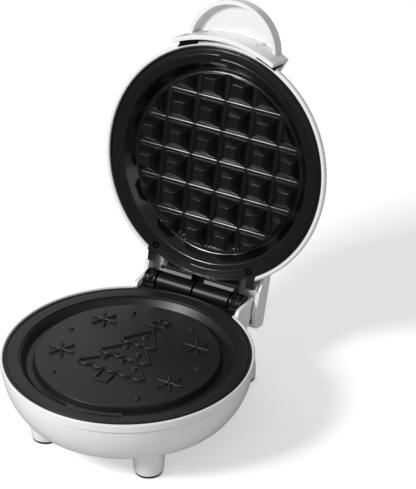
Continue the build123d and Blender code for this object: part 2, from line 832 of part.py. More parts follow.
# Lid shell: the dome with the rear housing whose cheeks run outside the base's ears.
tail_outline = [
    (40.0, 10.5),
    (52.0, tail_top),
    (tail_rear_y - 1.0, tail_end_top),
    (tail_rear_y, tail_end_top - 1.4),
    (tail_rear_y, 3.3),
    (72.3, 0.9),
    (60.7, 2.9),
    (53.0, 6.2),
    (40.0, 8.0),
]
tail_hollow = [
    (44.0, -2.0),
    (tail_rear_y - cheek_wall, -2.0),
    (tail_rear_y - cheek_wall, tail_end_top - cheek_wall),
    (52.0, tail_top - cheek_wall),
    (44.0, 9.0),
]
handle_front = Plane(origin=lid.origin, x_dir=(1, 0, 0), z_dir=-lid.y_dir)
grip_spots = [(handle_screw_x, handle_screw_z), (-handle_screw_x, handle_screw_z)]
with BuildPart() as lid_shell:
    revolve(domed(0, 0), axis=axis_of(lid))
    pins(lid, -1, dome_start, dome_r + 2, [(0, 0)], Mode.SUBTRACT)
    with BuildSketch(lid_side.offset(-cheek_x)):
        with BuildLine():
            FilletPolyline(*tail_outline, radius=[0.5, 2, 0.8, 1, 2, 8, 2, 1, 0.5], close=True)
        make_face()
    extrude(amount=2 * cheek_x)
    with BuildPart(mode=Mode.PRIVATE) as hollow:
        revolve(domed(-shell_wall, dome_start - 3), axis=axis_of(lid))
    add(hollow.part, mode=Mode.SUBTRACT)
    with BuildSketch(handle_front.offset(handle_screw_seat)):
        with Locations(*grip_spots):
            Circle(screw_head_r + 0.8)
    extrude(amount=4)
    with BuildSketch(handle_front.offset(handle_screw_seat)):
        with Locations(*grip_spots):
            Circle(screw_head_r - 0.2)
    extrude(amount=-6, mode=Mode.SUBTRACT)
    with BuildPart(mode=Mode.PRIVATE) as outside:
        with BuildSketch(lid.offset(-30)):
            Circle(100)
        extrude(amount=90)
        revolve(domed(0, -31), axis=axis_of(lid), mode=Mode.SUBTRACT)
        slab(lid_side, 60, [(0, -40), (120, -40), (120, 70), (0, 70)], Mode.SUBTRACT)
    add(outside.part, mode=Mode.SUBTRACT)
    slab(lid_side, cheek_in, tail_hollow, Mode.SUBTRACT)
    pins(lid, plate_flange + seat_gap, 12, screw_head_r - 0.2, lid_screw_spots)
    pins(lid, 0, 10, screw_r + pin_fit, lid_screw_spots, Mode.SUBTRACT)
    pins(lid, -5, plate_flange + seat_gap, lid_flange_r + seat_gap, [(0, 0)], Mode.SUBTRACT)
    with BuildSketch(handle_front.offset(50)):
        with Locations(*grip_spots):
            Circle(screw_r + pin_fit)
    extrude(amount=20, mode=Mode.SUBTRACT)
save(lid_shell.part, "lid_shell")

# Hinge bracket: two knuckles, their lugs and the strap screwed to the back of the lid plate.
pivot = (hinge_y, pivot_z)
strap_foot = plate_flange + seat_gap
strap_rear = hinge_y + 4.4
lug_front = lid_flange_r + 0.35
with BuildPart() as lid_hinge_bracket:
    slab(
        lid_side,
        knuckle_half,
        [
            (lid_opening_r + 3.2, strap_foot),
            (strap_rear, strap_foot),
            (strap_rear, strap_foot + 2.2),
            (lid_opening_r + 3.2, strap_foot + 2.2),
        ],
    )
    twin(
        lid_side,
        lug_start,
        knuckle_half,
        [
            (lug_front, strap_foot + 1),
            (lug_front, -1.4),
            (hinge_y - knuckle_r + 0.6, pivot_z),
            (hinge_y + knuckle_r - 1.0, pivot_z),
            (hinge_y + knuckle_r - 1.0, strap_foot + 1),
        ],
    )
    rods(lid_side, knuckle_start, knuckle_half, knuckle_r, pivot)
    twin(
        lid_side,
        lug_start,
        lug_step_half,
        [
            (lug_front - 1.15, -1.4),
            (lug_front + 0.8, -1.4),
            (lug_front + 0.8, -0.2),
            (lug_front - 1.15, -0.2),
        ],
    )
    rods(lid_side, -1, knuckle_half + 1, pin_r + pin_fit, pivot, Mode.SUBTRACT)
    pins(lid, 0, 8, screw_r + pin_fit, bracket_spots, Mode.SUBTRACT)
save(lid_hinge_bracket.part, "lid_hinge_bracket")

with BuildPart() as bracket_screws:
    screws(lid, 1.0, strap_foot + 2.2 + seat_gap, screw_head_r, bracket_spots, 1)
save(bracket_screws.part, "bracket_screws")

with BuildPart() as lid_screws:
    screws(lid, 9.4, screw_head, screw_head_r - 0.6, lid_screw_spots, -1)
save(lid_screws.part, "lid_screws")

# Handle: a curved lip in front of the rim and a hollow half-round grip under one skin.
lip_out = handle_r_in + handle_wall
skin_foot = handle_rise - web_wall
with BuildPart() as handle:
    with BuildSketch(lid.offset(arch_start)):
        with Locations((0, arch_centre_y)):
            Circle(arch_r)
        Circle(handle_r_in, mode=Mode.SUBTRACT)
    extrude(amount=handle_rise - arch_start)
    with BuildSketch(lid.offset(arch_start - 1)):
        with Locations((0, arch_centre_y)):
            Circle(arch_r - arch_wall)
        Circle(lip_out, mode=Mode.SUBTRACT)
    extrude(amount=skin_foot - arch_start + 1, mode=Mode.SUBTRACT)
    with BuildSketch(lid.offset(-handle_lip)):
        with BuildLine():
            left = ring_spot(handle_r_in, 270 - handle_half_angle)
            right = ring_spot(handle_r_in, 270 + handle_half_angle)
            far_left = ring_spot(lip_out, 270 - handle_half_angle)
            far_right = ring_spot(lip_out, 270 + handle_half_angle)
            inner = ThreePointArc(left, (0, -handle_r_in), right)
            outer = ThreePointArc(far_left, (0, -lip_out), far_right)
            Line(left, far_left)
            Line(right, far_right)
        make_face()
    extrude(amount=handle_lip + skin_foot + 0.5)
    with BuildSketch(lid.offset(skin_foot - 0.1)):
        with BuildLine():
            low_left = ring_spot(50, 270 - handle_half_angle)
            low_right = ring_spot(50, 270 + handle_half_angle)
            ThreePointArc(low_left, (0, -50), low_right)
            ThreePointArc(far_left, (0, -lip_out), far_right)
            Line(low_left, far_left)
            Line(low_right, far_right)
        make_face()
    extrude(amount=web_wall + 0.1)
    with BuildSketch(handle_front.offset(handle_screw_seat)):
        with Locations(*grip_spots):
            Circle(handle_boss_r)
    extrude(amount=handle_r_in - handle_screw_seat + 1)
    revolve(domed(seat_gap, -20), axis=axis_of(lid), mode=Mode.SUBTRACT)
    with BuildSketch(handle_front.offset(50)):
        with Locations(*grip_spots):
            Circle(screw_r + pin_fit)
    extrude(amount=14, mode=Mode.SUBTRACT)
save(handle.part, "handle")

# Dark insert that closes the gap between the rim and the handle's lip.
insert_out = handle_r_in - seat_gap
with BuildPart() as handle_insert:
    with BuildSketch(lid.offset(1.0)):
        with BuildLine():
            left = ring_spot(rim_r + 0.2, 270 - handle_half_angle)
            right = ring_spot(rim_r + 0.2, 270 + handle_half_angle)
            far_left = ring_spot(insert_out, 270 - handle_half_angle)
            far_right = ring_spot(insert_out, 270 + handle_half_angle)
            ThreePointArc(left, (0, -rim_r - 0.2), right)
            ThreePointArc(far_left, (0, -insert_out), far_right)
            Line(left, far_left)
            Line(right, far_right)
        make_face()
    extrude(amount=6.0)
    for side_sign in (-1, 1):
        with BuildSketch(lid.offset(-0.3)):
            with Locations((side_sign * 22.3, -60)):
                Rectangle(10.4, 20)
            Circle(insert_out - 0.05, mode=Mode.INTERSECT)
            Circle(notch_r + seat_gap, mode=Mode.SUBTRACT)
        extrude(amount=dome_start + 0.1)
    with BuildSketch(handle_front.offset(50)):
        with Locations(*grip_spots):
            Circle(handle_boss_r + seat_gap)
    extrude(amount=20, mode=Mode.SUBTRACT)
save(handle_insert.part, "handle_insert")

with BuildPart() as handle_screws:
    with BuildSketch(handle_front.offset(handle_screw_seat - seat_gap)):
        with Locations(*grip_spots):
            Circle(screw_r)
    extrude(amount=8)
    with BuildSketch(handle_front.offset(handle_screw_seat - seat_gap)):
        with Locations(*grip_spots):
            Circle(screw_head_r - 0.5)
    extrude(amount=-screw_head)
save(handle_screws.part, "handle_screws")

# Heating element behind the lid plate, its clamps, heat shield and thermostat.
with BuildPart() as lid_element:
    heater(lid, lid_tube_z, lid_shield_z - 0.2)
save(lid_element.part, "lid_element")

with BuildPart() as lid_element_clamps:
    clamps(lid, lid_back + seat_gap, lid_shield_z - side_gap, (210, 270, 330))
save(lid_element_clamps.part, "lid_element_clamps")

with BuildPart() as lid_heat_shield:
    shield(lid, lid_shield_z, inner_spots)
save(lid_heat_shield.part, "lid_heat_shield")

with BuildPart() as lid_shield_screws:
    seat = lid_shield_z + shield_wall + seat_gap
    screws(lid, lid_back + 0.5, seat, screw_head_r, inner_spots, 1)
save(lid_shield_screws.part, "lid_shield_screws")

with BuildPart() as thermostat:
    pins(lid, lid_back + seat_gap, lid_back + 4.2, 6.5, [(0, 0)])
    with BuildSketch(lid.offset(lid_back + 4.2)):
        Circle(5.0)
    extrude(amount=1.6)
    with BuildSketch(lid.offset(lid_back + 1.6)):
        with Locations((8.0, 0), (-8.0, 0)):
            Rectangle(5, 4)
    extrude(amount=0.8)
save(thermostat.part, "thermostat")

with BuildPart() as lid_leads:
    for shift in (pin_x, -pin_x):
        wire_run(
            lid_side,
            shift,
            [(pin_y, lid_shield_z), (pin_y, lid_shield_z + 2.4), (pin_y + 14, lid_shield_z - 3.0)],
            1.6,
        )
save(lid_leads.part, "lid_leads")
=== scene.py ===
"""Mini waffle maker, lid open: detailed pieces, finishes, light and camera."""

import bmesh  # noqa: E402
import bpy  # noqa: E402
import json  # noqa: E402
import logging  # noqa: E402
from dataclasses import dataclass, field  # noqa: E402
from enum import Enum  # noqa: E402
from math import cos, pi, radians, sin, sqrt, tan  # noqa: E402
from mathutils import Matrix, Vector  # noqa: E402

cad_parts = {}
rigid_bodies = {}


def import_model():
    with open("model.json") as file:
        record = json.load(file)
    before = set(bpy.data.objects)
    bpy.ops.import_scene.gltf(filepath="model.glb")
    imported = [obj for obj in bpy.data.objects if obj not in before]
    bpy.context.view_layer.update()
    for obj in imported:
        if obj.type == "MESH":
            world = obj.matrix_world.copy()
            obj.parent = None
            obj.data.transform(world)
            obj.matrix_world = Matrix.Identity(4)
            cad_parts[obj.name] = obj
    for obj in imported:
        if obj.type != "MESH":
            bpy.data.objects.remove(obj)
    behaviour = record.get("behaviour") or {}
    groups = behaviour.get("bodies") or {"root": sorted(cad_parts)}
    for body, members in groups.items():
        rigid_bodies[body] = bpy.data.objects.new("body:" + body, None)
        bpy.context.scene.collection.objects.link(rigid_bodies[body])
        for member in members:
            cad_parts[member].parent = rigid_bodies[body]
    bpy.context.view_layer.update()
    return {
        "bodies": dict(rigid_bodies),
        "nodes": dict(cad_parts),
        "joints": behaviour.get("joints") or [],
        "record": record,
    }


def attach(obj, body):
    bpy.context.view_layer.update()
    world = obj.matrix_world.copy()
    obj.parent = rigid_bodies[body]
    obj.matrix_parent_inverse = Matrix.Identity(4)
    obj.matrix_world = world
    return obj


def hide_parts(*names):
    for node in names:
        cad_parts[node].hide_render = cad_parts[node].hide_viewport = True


# One millimetre in metres, and the millimetres in a metre.
MM = 0.001
METRE = 1000.0
# Distances in metres within which vertices are one: on a solid's copy, a cut peg and an axis.
WELD_SOLID, WELD_CUT, WELD_AXIS = 2e-6, 1e-6, 1e-7
# Degrees up to which neighbouring triangles of a solid's copy count as one flat face.
FLAT = 0.6
LOG = logging.getLogger("waffle_maker")
# A place on a plane, and one in space or a corner of an outline with its rounding.
Spot = tuple[float, float]
Point = tuple[float, float, float]


class Body(Enum):
    """The two rigid halves that the hinge joins."""

    BASE = "base"
    LID = "lid"


class Grain(Enum):
    """How a surface was made, which sets the form of its fine bump."""

    MOULDED = "moulded"
    BLASTED = "blasted"
    BRUSHED = "brushed"
    DRAWN = "drawn"


def linear(code: str) -> tuple[float, float, float, float]:
    """Turn an sRGB hex colour into linear light, by the sRGB curve.

    Args:
        code: six hex digits.

    Returns:
        Red, green, blue and alpha from 0 to 1.
    """
    parts = [int(code[index : index + 2], 16) / 255 for index in (0, 2, 4)]
    light = [part / 12.92 if part <= 0.04045 else ((part + 0.055) / 1.055) ** 2.4 for part in parts]
    return (light[0], light[1], light[2], 1.0)


def add_node(
    tree: bpy.types.NodeTree,
    kind: str,
    feeds: dict | None = None,
    **settings: object,
) -> bpy.types.Node:
    """Add one node, set it and link its inputs.

    Args:
        tree: the node tree that gets the node.
        kind: the node's type name.
        feeds: input name or number to a value, or to the output socket that feeds it.
        settings: attributes of the node itself.

    Returns:
        The new node.
    """
    node = tree.nodes.new(kind)
    for name, value in settings.items():
        setattr(node, name, value)
    for key, value in (feeds or {}).items():
        if isinstance(value, bpy.types.NodeSocket):
            tree.links.new(value, node.inputs[key])
        else:
            node.inputs[key].default_value = value
    return node


@dataclass(frozen=True)
class Finish:
    """One real material with its surface.

    Attributes:
        name: the material's plain name.
        colour: sRGB hex of the clean surface.
        shade: sRGB hex of the darker patches.
        rough: roughness of the clean surface.
        rough_spread: how far the roughness wanders.
        metallic: 0 for plastic and coatings, 1 for bare metal.
        ior: index of refraction.
        coat: weight of a clear gloss layer.
        coat_rough: roughness of that layer.
        grain: how the surface was made.
        grain_mm: size of the bump's grain in millimetres.
        relief: depth of the bump in millimetres.
        bump: strength of the bump.
        patch_mm: size of the colour patches in millimetres.
        streak: the grain's scale along a drawn or brushed surface; below 1 makes it long.
    """

    name: str
    colour: str
    shade: str
    rough: float
    rough_spread: float = 0.05
    metallic: float = 0.0
    ior: float = 1.5
    coat: float = 0.0
    coat_rough: float = 0.12
    grain: Grain = Grain.MOULDED
    grain_mm: float = 0.6
    relief: float = 0.01
    bump: float = 0.6
    patch_mm: float = 30.0
    streak: float = 0.04

    def build(self) -> bpy.types.Material:
        """Make the procedural material, with patches of colour and gloss and a fine grain.

        Returns:
            The Blender material.
        """
        material = bpy.data.materials.new(self.name)
        material.use_nodes = True
        tree = material.node_tree
        tree.nodes.clear()
        place = add_node(tree, "ShaderNodeTexCoord").outputs["Object"]
        patches = add_node(
            tree,
            "ShaderNodeTexNoise",
            {"Vector": place, "Scale": METRE / self.patch_mm, "Detail": 3.0, "Roughness": 0.6},
        )
        even = self.grain in (Grain.MOULDED, Grain.BLASTED)
        stretch = (1.0 if even else self.streak, 1.0, 1.0)
        along = add_node(tree, "ShaderNodeMapping", {"Vector": place, "Scale": stretch})
        grain = add_node(
            tree,
            "ShaderNodeTexNoise",
            {
                "Vector": along.outputs[0],
                "Scale": METRE / self.grain_mm,
                "Detail": 2.0,
                "Roughness": 0.55,
            },
        )
        colour = add_node(
            tree,
            "ShaderNodeMix",
            {0: patches.outputs[0], 6: linear(self.colour), 7: linear(self.shade)},
            data_type="RGBA",
        )
        rough = add_node(
            tree,
            "ShaderNodeMapRange",
            {
                0: patches.outputs[0],
                3: self.rough - self.rough_spread,
                4: self.rough + self.rough_spread,
            },
        )
        bump = add_node(
            tree,
            "ShaderNodeBump",
            {"Height": grain.outputs[0], "Strength": self.bump, "Distance": self.relief * MM},
        )
        shader = add_node(
            tree,
            "ShaderNodeBsdfPrincipled",
            {
                "Base Color": colour.outputs[2],
                "Roughness": rough.outputs[0],
                "Normal": bump.outputs[0],
                "Metallic": self.metallic,
                "Coat Weight": self.coat,
                "Coat Roughness": self.coat_rough,
            },
        )
        if not self.metallic:
            shader.inputs["IOR"].default_value = self.ior
        add_node(tree, "ShaderNodeOutputMaterial", {"Surface": shader.outputs[0]})
        return material


# Polypropylene of the shells: near white, with a soft clear gloss.
WHITE = Finish(
    "white_polypropylene", "E9E9E9", "E2E2E2", rough=0.3, coat=0.2, grain_mm=1.4, relief=0.006
)
# Non-stick coating on the lid's cast plate: black and smooth, so its edges catch thin highlights.
COATING = Finish(
    "nonstick_coating",
    "09090A",
    "060607",
    rough=0.26,
    rough_spread=0.03,
    ior=1.45,
    coat=1.0,
    grain=Grain.BLASTED,
    grain_mm=0.55,
    relief=0.015,
)
# The same coating on the picture plate, over a coarser blasted casting, so its sheen is broad. Its
# colour is lighter than the lid's coating: painted light, the flat plate's sheen painted into its
# colour.
PEBBLED_SHEEN = Finish(
    "pebbled_coating_painted_sheen",
    "1A1A1B",
    "131314",
    rough=0.4,
    ior=1.48,
    grain=Grain.BLASTED,
    relief=0.05,
)
# Glass-filled nylon of the hinge, the cord inlet and the grip's insert: smooth and black.
NYLON = Finish(
    "black_nylon",
    "0B0B0C",
    "08080A",
    rough=0.36,
    rough_spread=0.04,
    ior=1.36,
    grain_mm=0.8,
    relief=0.006,
)
# Blackened steel of the screws that show on the lid's plate: dark, with a dull metal sheen.
BLACKED = Finish(
    "blackened_steel", "26262A", "1B1B1E", rough=0.35, metallic=1.0, grain=Grain.DRAWN, grain_mm=0.3
)
# Rubber of the foot pads: matt and dark.
RUBBER = Finish("foot_rubber", "2A2A2B", "202021", rough=0.7, grain_mm=0.5, relief=0.02)
# Zinc-plated steel of screws, clamps, washers and pin: grey, with fine drawn marks.
ZINC = Finish(
    "zinc_plated_steel",
    "8E9093",
    "7C7E82",
    rough=0.34,
    rough_spread=0.06,
    metallic=1.0,
    grain=Grain.DRAWN,
    grain_mm=0.25,
)
# Heat-darkened steel of the heating tubes: brown grey and dull.
TUBE = Finish(
    "heated_steel",
    "6E6259",
    "54504C",
    rough=0.42,
    rough_spread=0.08,
    metallic=1.0,
    grain=Grain.DRAWN,
    grain_mm=0.4,
)
# Rolled aluminium of the heat shields and the thermostat: pale, with long fine marks.
SHEET = Finish(
    "rolled_aluminium",
    "C3C5C7",
    "B2B5B8",
    rough=0.4,
    rough_spread=0.06,
    metallic=1.0,
    grain=Grain.BRUSHED,
    grain_mm=0.3,
)
# Pale ceramic of the terminal block and the thermal fuse: cream and nearly matt.
CERAMIC = Finish("pale_ceramic", "D8D3C6", "CBC5B7", rough=0.55, grain_mm=0.5)
# Woven glass sleeve of the leads: matt, with a coarse surface.
SLEEVE = Finish("glass_sleeve", "C9C6BB", "B9B5A8", rough=0.65, grain_mm=0.4, relief=0.03)


@dataclass(frozen=True)
class Place:
    """A tilted frame in millimetres, with x across, y to the rear and z up or into the dome.

    Attributes:
        origin: the frame's origin.
        tilt: how far it leans back, in radians.
    """

    origin: Vector
    tilt: float

    def matrix(self) -> Matrix:
        """Give the frame as a matrix.

        Returns:
            The matrix from local millimetres to metres.
        """
        lean = Matrix.Rotation(-self.tilt, 4, "X")
        return Matrix.Diagonal((MM, MM, MM, 1.0)) @ Matrix.Translation(self.origin) @ lean


@dataclass
class Sizes:
    """Sizes shared by the halves, in millimetres, as the solids have them.

    Attributes:
        hinge_y: the pin's distance behind the plates' middle.
        hinge_z: the pin's height above the base's frame.
        closed_gap: the gap between the two flanges with the lid closed.
        seam_height: height of the base's frame above the floor.
        open_angle: how far the lid is open at rest, in degrees.
        base_y: place of the base's middle, from front to rear.
    """

    hinge_y: float = 68.1
    hinge_z: float = -0.5
    closed_gap: float = 2.0
    seam_height: float = 41.5
    open_angle: float = 104.1
    base_y: float = -27.3

    def base(self) -> Place:
        """Give the base's frame, in the plane of the cooking face's flange.

        Returns:
            The frame.
        """
        return Place(Vector((0, self.base_y, self.seam_height)), 0.0)

    def lid(self) -> Place:
        """Give the open lid's frame, in the plane of its flange.

        Returns:
            The frame.
        """
        turn = radians(self.open_angle)
        rise = self.closed_gap - self.hinge_z
        y = self.hinge_y - self.hinge_y * cos(turn) + rise * sin(turn)
        z = self.hinge_z + self.hinge_y * sin(turn) + rise * cos(turn)
        return Place(Vector((0, self.base_y + y, self.seam_height + z)), turn)


@dataclass
class Workshop:
    """Makes pieces, dresses them and seats them on their body.

    Attributes:
        materials: the materials made so far, by name.
    """

    frame: dict
    materials: dict[str, bpy.types.Material] = field(default_factory=dict)

    def material(self, finish: Finish) -> bpy.types.Material:
        """Give the one material of a finish, built at its first use.

        Args:
            finish: the finish.

        Returns:
            Its material.
        """
        if finish.name not in self.materials:
            self.materials[finish.name] = finish.build()
        return self.materials[finish.name]

    def dress(self, piece: bpy.types.Object, finish: Finish) -> None:
        """Give a piece one finish all over.

        Args:
            piece: the piece.
            finish: what it is made of.
        """
        piece.data.materials.clear()
        piece.data.materials.append(self.material(finish))
        for face in piece.data.polygons:
            face.material_index = 0

    def dress_node(self, node: str, finish: Finish) -> None:
        """Give a solid of the frame its procedural finish.

        Args:
            node: the solid's name.
            finish: what it is made of.
        """
        piece = self.frame["nodes"][node]
        if not piece.data.materials:
            piece.data.materials.append(self.material(finish))
        for index in range(len(piece.material_slots)):
            piece.material_slots[index].link = "OBJECT"
            piece.material_slots[index].material = self.material(finish)
        LOG.info("%s in %s", node, finish.name)

    def seat(self, piece: bpy.types.Object, body: Body, slot: str, *nodes: str) -> None:
        """Let a finished piece ride its body and stand for solids.

        Args:
            piece: the finished piece, at the origin.
            body: the half that carries it.
            slot: the record's material slot; not used.
            nodes: the solids that the piece stands for.
        """
        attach(piece, body.value)
        if nodes:
            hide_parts(*nodes)
        LOG.info("%s on %s, %d faces", piece.name, body.value, len(piece.data.polygons))

    def from_bmesh(
        self, name: str, form: bmesh.types.BMesh, finish: Finish, smooth: float = 35.0
    ) -> bpy.types.Object:
        """Turn a bmesh in metres into a dressed object.

        Args:
            name: the piece's name.
            form: the mesh, which is freed.
            finish: what it is made of.
            smooth: edges sharper than this many degrees stay sharp.

        Returns:
            The new object, linked to the scene.
        """
        bmesh.ops.recalc_face_normals(form, faces=form.faces)
        mesh = bpy.data.meshes.new(name)
        form.to_mesh(mesh)
        form.free()
        mesh.shade_smooth()
        mesh.set_sharp_from_angle(angle=radians(smooth))
        piece = bpy.data.objects.new(name, mesh)
        bpy.context.scene.collection.objects.link(piece)
        self.dress(piece, finish)
        return piece

    def softened(
        self, node: str, name: str, finish: Finish, edge_mm: float, sharp: float = 30.0
    ) -> bpy.types.Object:
        """Copy a solid, merge its triangles and round its edges.

        Args:
            node: the solid to copy.
            name: the new piece's name.
            finish: what it is made of.
            edge_mm: the edge rounding in millimetres.
            sharp: the angle from which an edge counts as one, in degrees.

        Returns:
            The new piece.
        """
        form = bmesh.new()
        form.from_mesh(self.frame["nodes"][node].data)
        bmesh.ops.remove_doubles(form, verts=form.verts, dist=WELD_SOLID)
        bmesh.ops.dissolve_limit(form, angle_limit=radians(FLAT), verts=form.verts, edges=form.edges)
        piece = self.from_bmesh(name, form, finish, sharp)
        bevel = bevelled(piece, edge_mm, sharp)
        bevel.harden_normals = True
        bevel.use_clamp_overlap = False
        return piece


def bevelled(
    piece: bpy.types.Object, edge_mm: float, sharp: float, segments: int = 2
) -> bpy.types.Modifier:
    """Round a piece's edges with a bevel.

    Args:
        piece: the piece.
        edge_mm: the edge rounding in millimetres.
        sharp: the angle from which an edge counts as one, in degrees.
        segments: stretches in each rounding.

    Returns:
        The bevel, for further settings.
    """
    bevel = piece.modifiers.new("edge", "BEVEL")
    bevel.width = edge_mm * MM
    bevel.segments = segments
    bevel.limit_method = "ANGLE"
    bevel.angle_limit = radians(sharp)
    return bevel


def rounded(points: list[Point], steps: int = 5, most: float = 0.48) -> list[Spot]:
    """Round the corners of a closed outline.

    Args:
        points: corners as (radius, height, rounding).
        steps: the number of stretches in each rounding.
        most: the largest share of a side that one rounding may take.

    Returns:
        The outline with its roundings as short stretches.
    """
    outline: list[Spot] = []
    for index, (x, y, radius) in enumerate(points):
        corner = Vector((x, y))
        before = Vector(points[index - 1][:2]) - corner
        after = Vector(points[(index + 1) % len(points)][:2]) - corner
        if radius <= 0:
            outline.append((x, y))
            continue
        half = before.angle(after) / 2
        cut = min(radius / tan(half), most * before.length, most * after.length)
        start, end = corner + before.normalized() * cut, corner + after.normalized() * cut
        for step in range(steps + 1):
            share = step / steps
            low = start.lerp(corner, share)
            high = corner.lerp(end, share)
            spot = low.lerp(high, share)
            outline.append((spot.x, spot.y))
    return outline


def turned(
    outline: list[Spot], place: Place, start: float = 0.0, arc: float = 360.0, steps: int = 160
) -> bmesh.types.BMesh:
    """Spin a closed outline about a frame's upright axis.

    Args:
        outline: (radius, height) points in millimetres.
        place: the frame.
        start: first angle in degrees, from the right towards the rear.
        arc: how far round it goes, in degrees.
        steps: how many stretches round.

    Returns:
        A closed mesh in metres.
    """
    form = bmesh.new()
    whole = arc == 360.0
    matrix = place.matrix()
    count = steps if whole else steps + 1
    rows = []
    for index in range(count):
        angle = radians(start + arc * index / steps)
        ring = [Vector((r * cos(angle), r * sin(angle), z)) for r, z in outline]
        rows.append([form.verts.new(matrix @ point) for point in ring])
    size = len(outline)
    for index in range(steps):
        here, after = rows[index], rows[(index + 1) % count]
        for spot in range(size):
            other = (spot + 1) % size
            form.faces.new((here[spot], here[other], after[other], after[spot]))
    if not whole:
        form.faces.new(rows[0])
        form.faces.new(list(reversed(rows[-1])))
    bmesh.ops.remove_doubles(form, verts=form.verts, dist=WELD_AXIS)
    return form


def posts(
    form: bmesh.types.BMesh,
    place: Place,
    spots: list[Spot],
    radius: float,
    low: float,
    high: float,
) -> None:
    """Add closed round posts to a mesh.

    Args:
        form: the mesh, in metres.
        place: the frame of the spots and heights.
        spots: centres in millimetres.
        radius: their radius in millimetres.
        low: height of one end.
        high: height of the other end.
    """
    for x, y in spots:
        middle = place.matrix() @ Matrix.Translation((x, y, (low + high) / 2))
        bmesh.ops.create_cone(
            form,
            cap_ends=True,
            segments=32,
            radius1=radius,
            radius2=radius,
            depth=high - low,
            matrix=middle,
        )


@dataclass
class Raised:
    """Raised half-round lines and round studs on a plane, in millimetres.

    Attributes:
        plane: the matrix from the plane's millimetres to metres.
        foot_z: height of the surface they stand on.
        height: how far they stand up.
        width: width of a line.
        root: how far a line reaches below the surface.
        form: the mesh they are drawn into.
        arch: turns in degrees at which the back of a line is drawn.
        crown: how the back bulges, where 1 is half round and less is fuller.
        tips: turns in degrees at which a line's round end is drawn.
    """

    plane: Matrix
    foot_z: float = 0.0
    height: float = 0.95
    width: float = 1.3
    root: float = 0.4
    form: bmesh.types.BMesh = field(default_factory=bmesh.new)
    arch: tuple[int, ...] = (180, 152, 124, 90, 56, 28, 0)
    crown: float = 0.7
    tips: tuple[int, ...] = (30, 60, 82)

    def ring(self, spot: Vector, side: Vector, share: float) -> list[bmesh.types.BMVert]:
        """Draw one cross-section of a line, a low arch over a flat root.

        Args:
            spot: the section's middle.
            side: the direction across the line, longer than 1 at a corner.
            share: its size, from 0 to 1.

        Returns:
            The section's vertices in order.
        """
        points = []
        for turn in self.arch:
            over = spot + side * (cos(radians(turn)) * self.width / 2 * share)
            rise = sin(radians(turn)) ** self.crown * sqrt(share) if 0 < turn < 180 else 0.0
            over.z = self.foot_z + rise * self.height
            points.append(over)
        for over in (points[-1].copy(), points[0].copy()):
            over.z -= self.root
            points.append(over)
        return [self.form.verts.new(self.plane @ over) for over in points]

    def line(self, points: list[Spot], closed: bool = False) -> None:
        """Draw one raised line with a round back and round ends.

        Args:
            points: its corners.
            closed: whether its end joins its start.
        """
        spots = [Vector((x, y, 0)) for x, y in points]
        stations: list[tuple[Vector, Vector, float]] = []
        count = len(spots)
        for index, spot in enumerate(spots):
            before = spots[index - 1] if closed or index else spot
            after = spots[(index + 1) % count] if closed or index < count - 1 else spot
            into = (after - spot if before is spot else spot - before).normalized()
            out = into if after is spot else (after - spot).normalized()
            along = (into + out).normalized()
            # The sharpest corner makes the line twice as wide and no more.
            widen = 1 / max(along.dot(out), 0.5)
            stations.append((spot, Vector((-along.y, along.x, 0)) * widen, 1.0))
        if not closed:
            head, tail = spots[0], spots[-1]
            start, end = (spots[1] - head).normalized(), (tail - spots[-2]).normalized()
            for turn in self.tips:
                reach, share = sin(radians(turn)) * self.width / 2, cos(radians(turn))
                stations.insert(0, (head - start * reach, stations[0][1].normalized(), share))
                stations.append((tail + end * reach, stations[-1][1].normalized(), share))
        rings = [self.ring(spot, side, share) for spot, side, share in stations]
        size = len(rings[0])
        for index in range(len(rings) if closed else len(rings) - 1):
            here, after = rings[index], rings[(index + 1) % len(rings)]
            for spot in range(size):
                other = (spot + 1) % size
                self.form.faces.new((here[spot], here[other], after[other], after[spot]))
        if not closed:
            self.form.faces.new(rings[0])
            self.form.faces.new(list(reversed(rings[-1])))

    def stud(self, x: float, y: float, radius: float) -> None:
        """Raise one low round stud.

        Args:
            x: its place across.
            y: its place to the rear.
            radius: its radius.
        """
        flat = Matrix.Diagonal((radius, radius, self.height, 1.0))
        seat = self.plane @ Matrix.Translation((x, y, self.foot_z)) @ flat
        bmesh.ops.create_uvsphere(self.form, u_segments=28, v_segments=14, radius=1.0, matrix=seat)


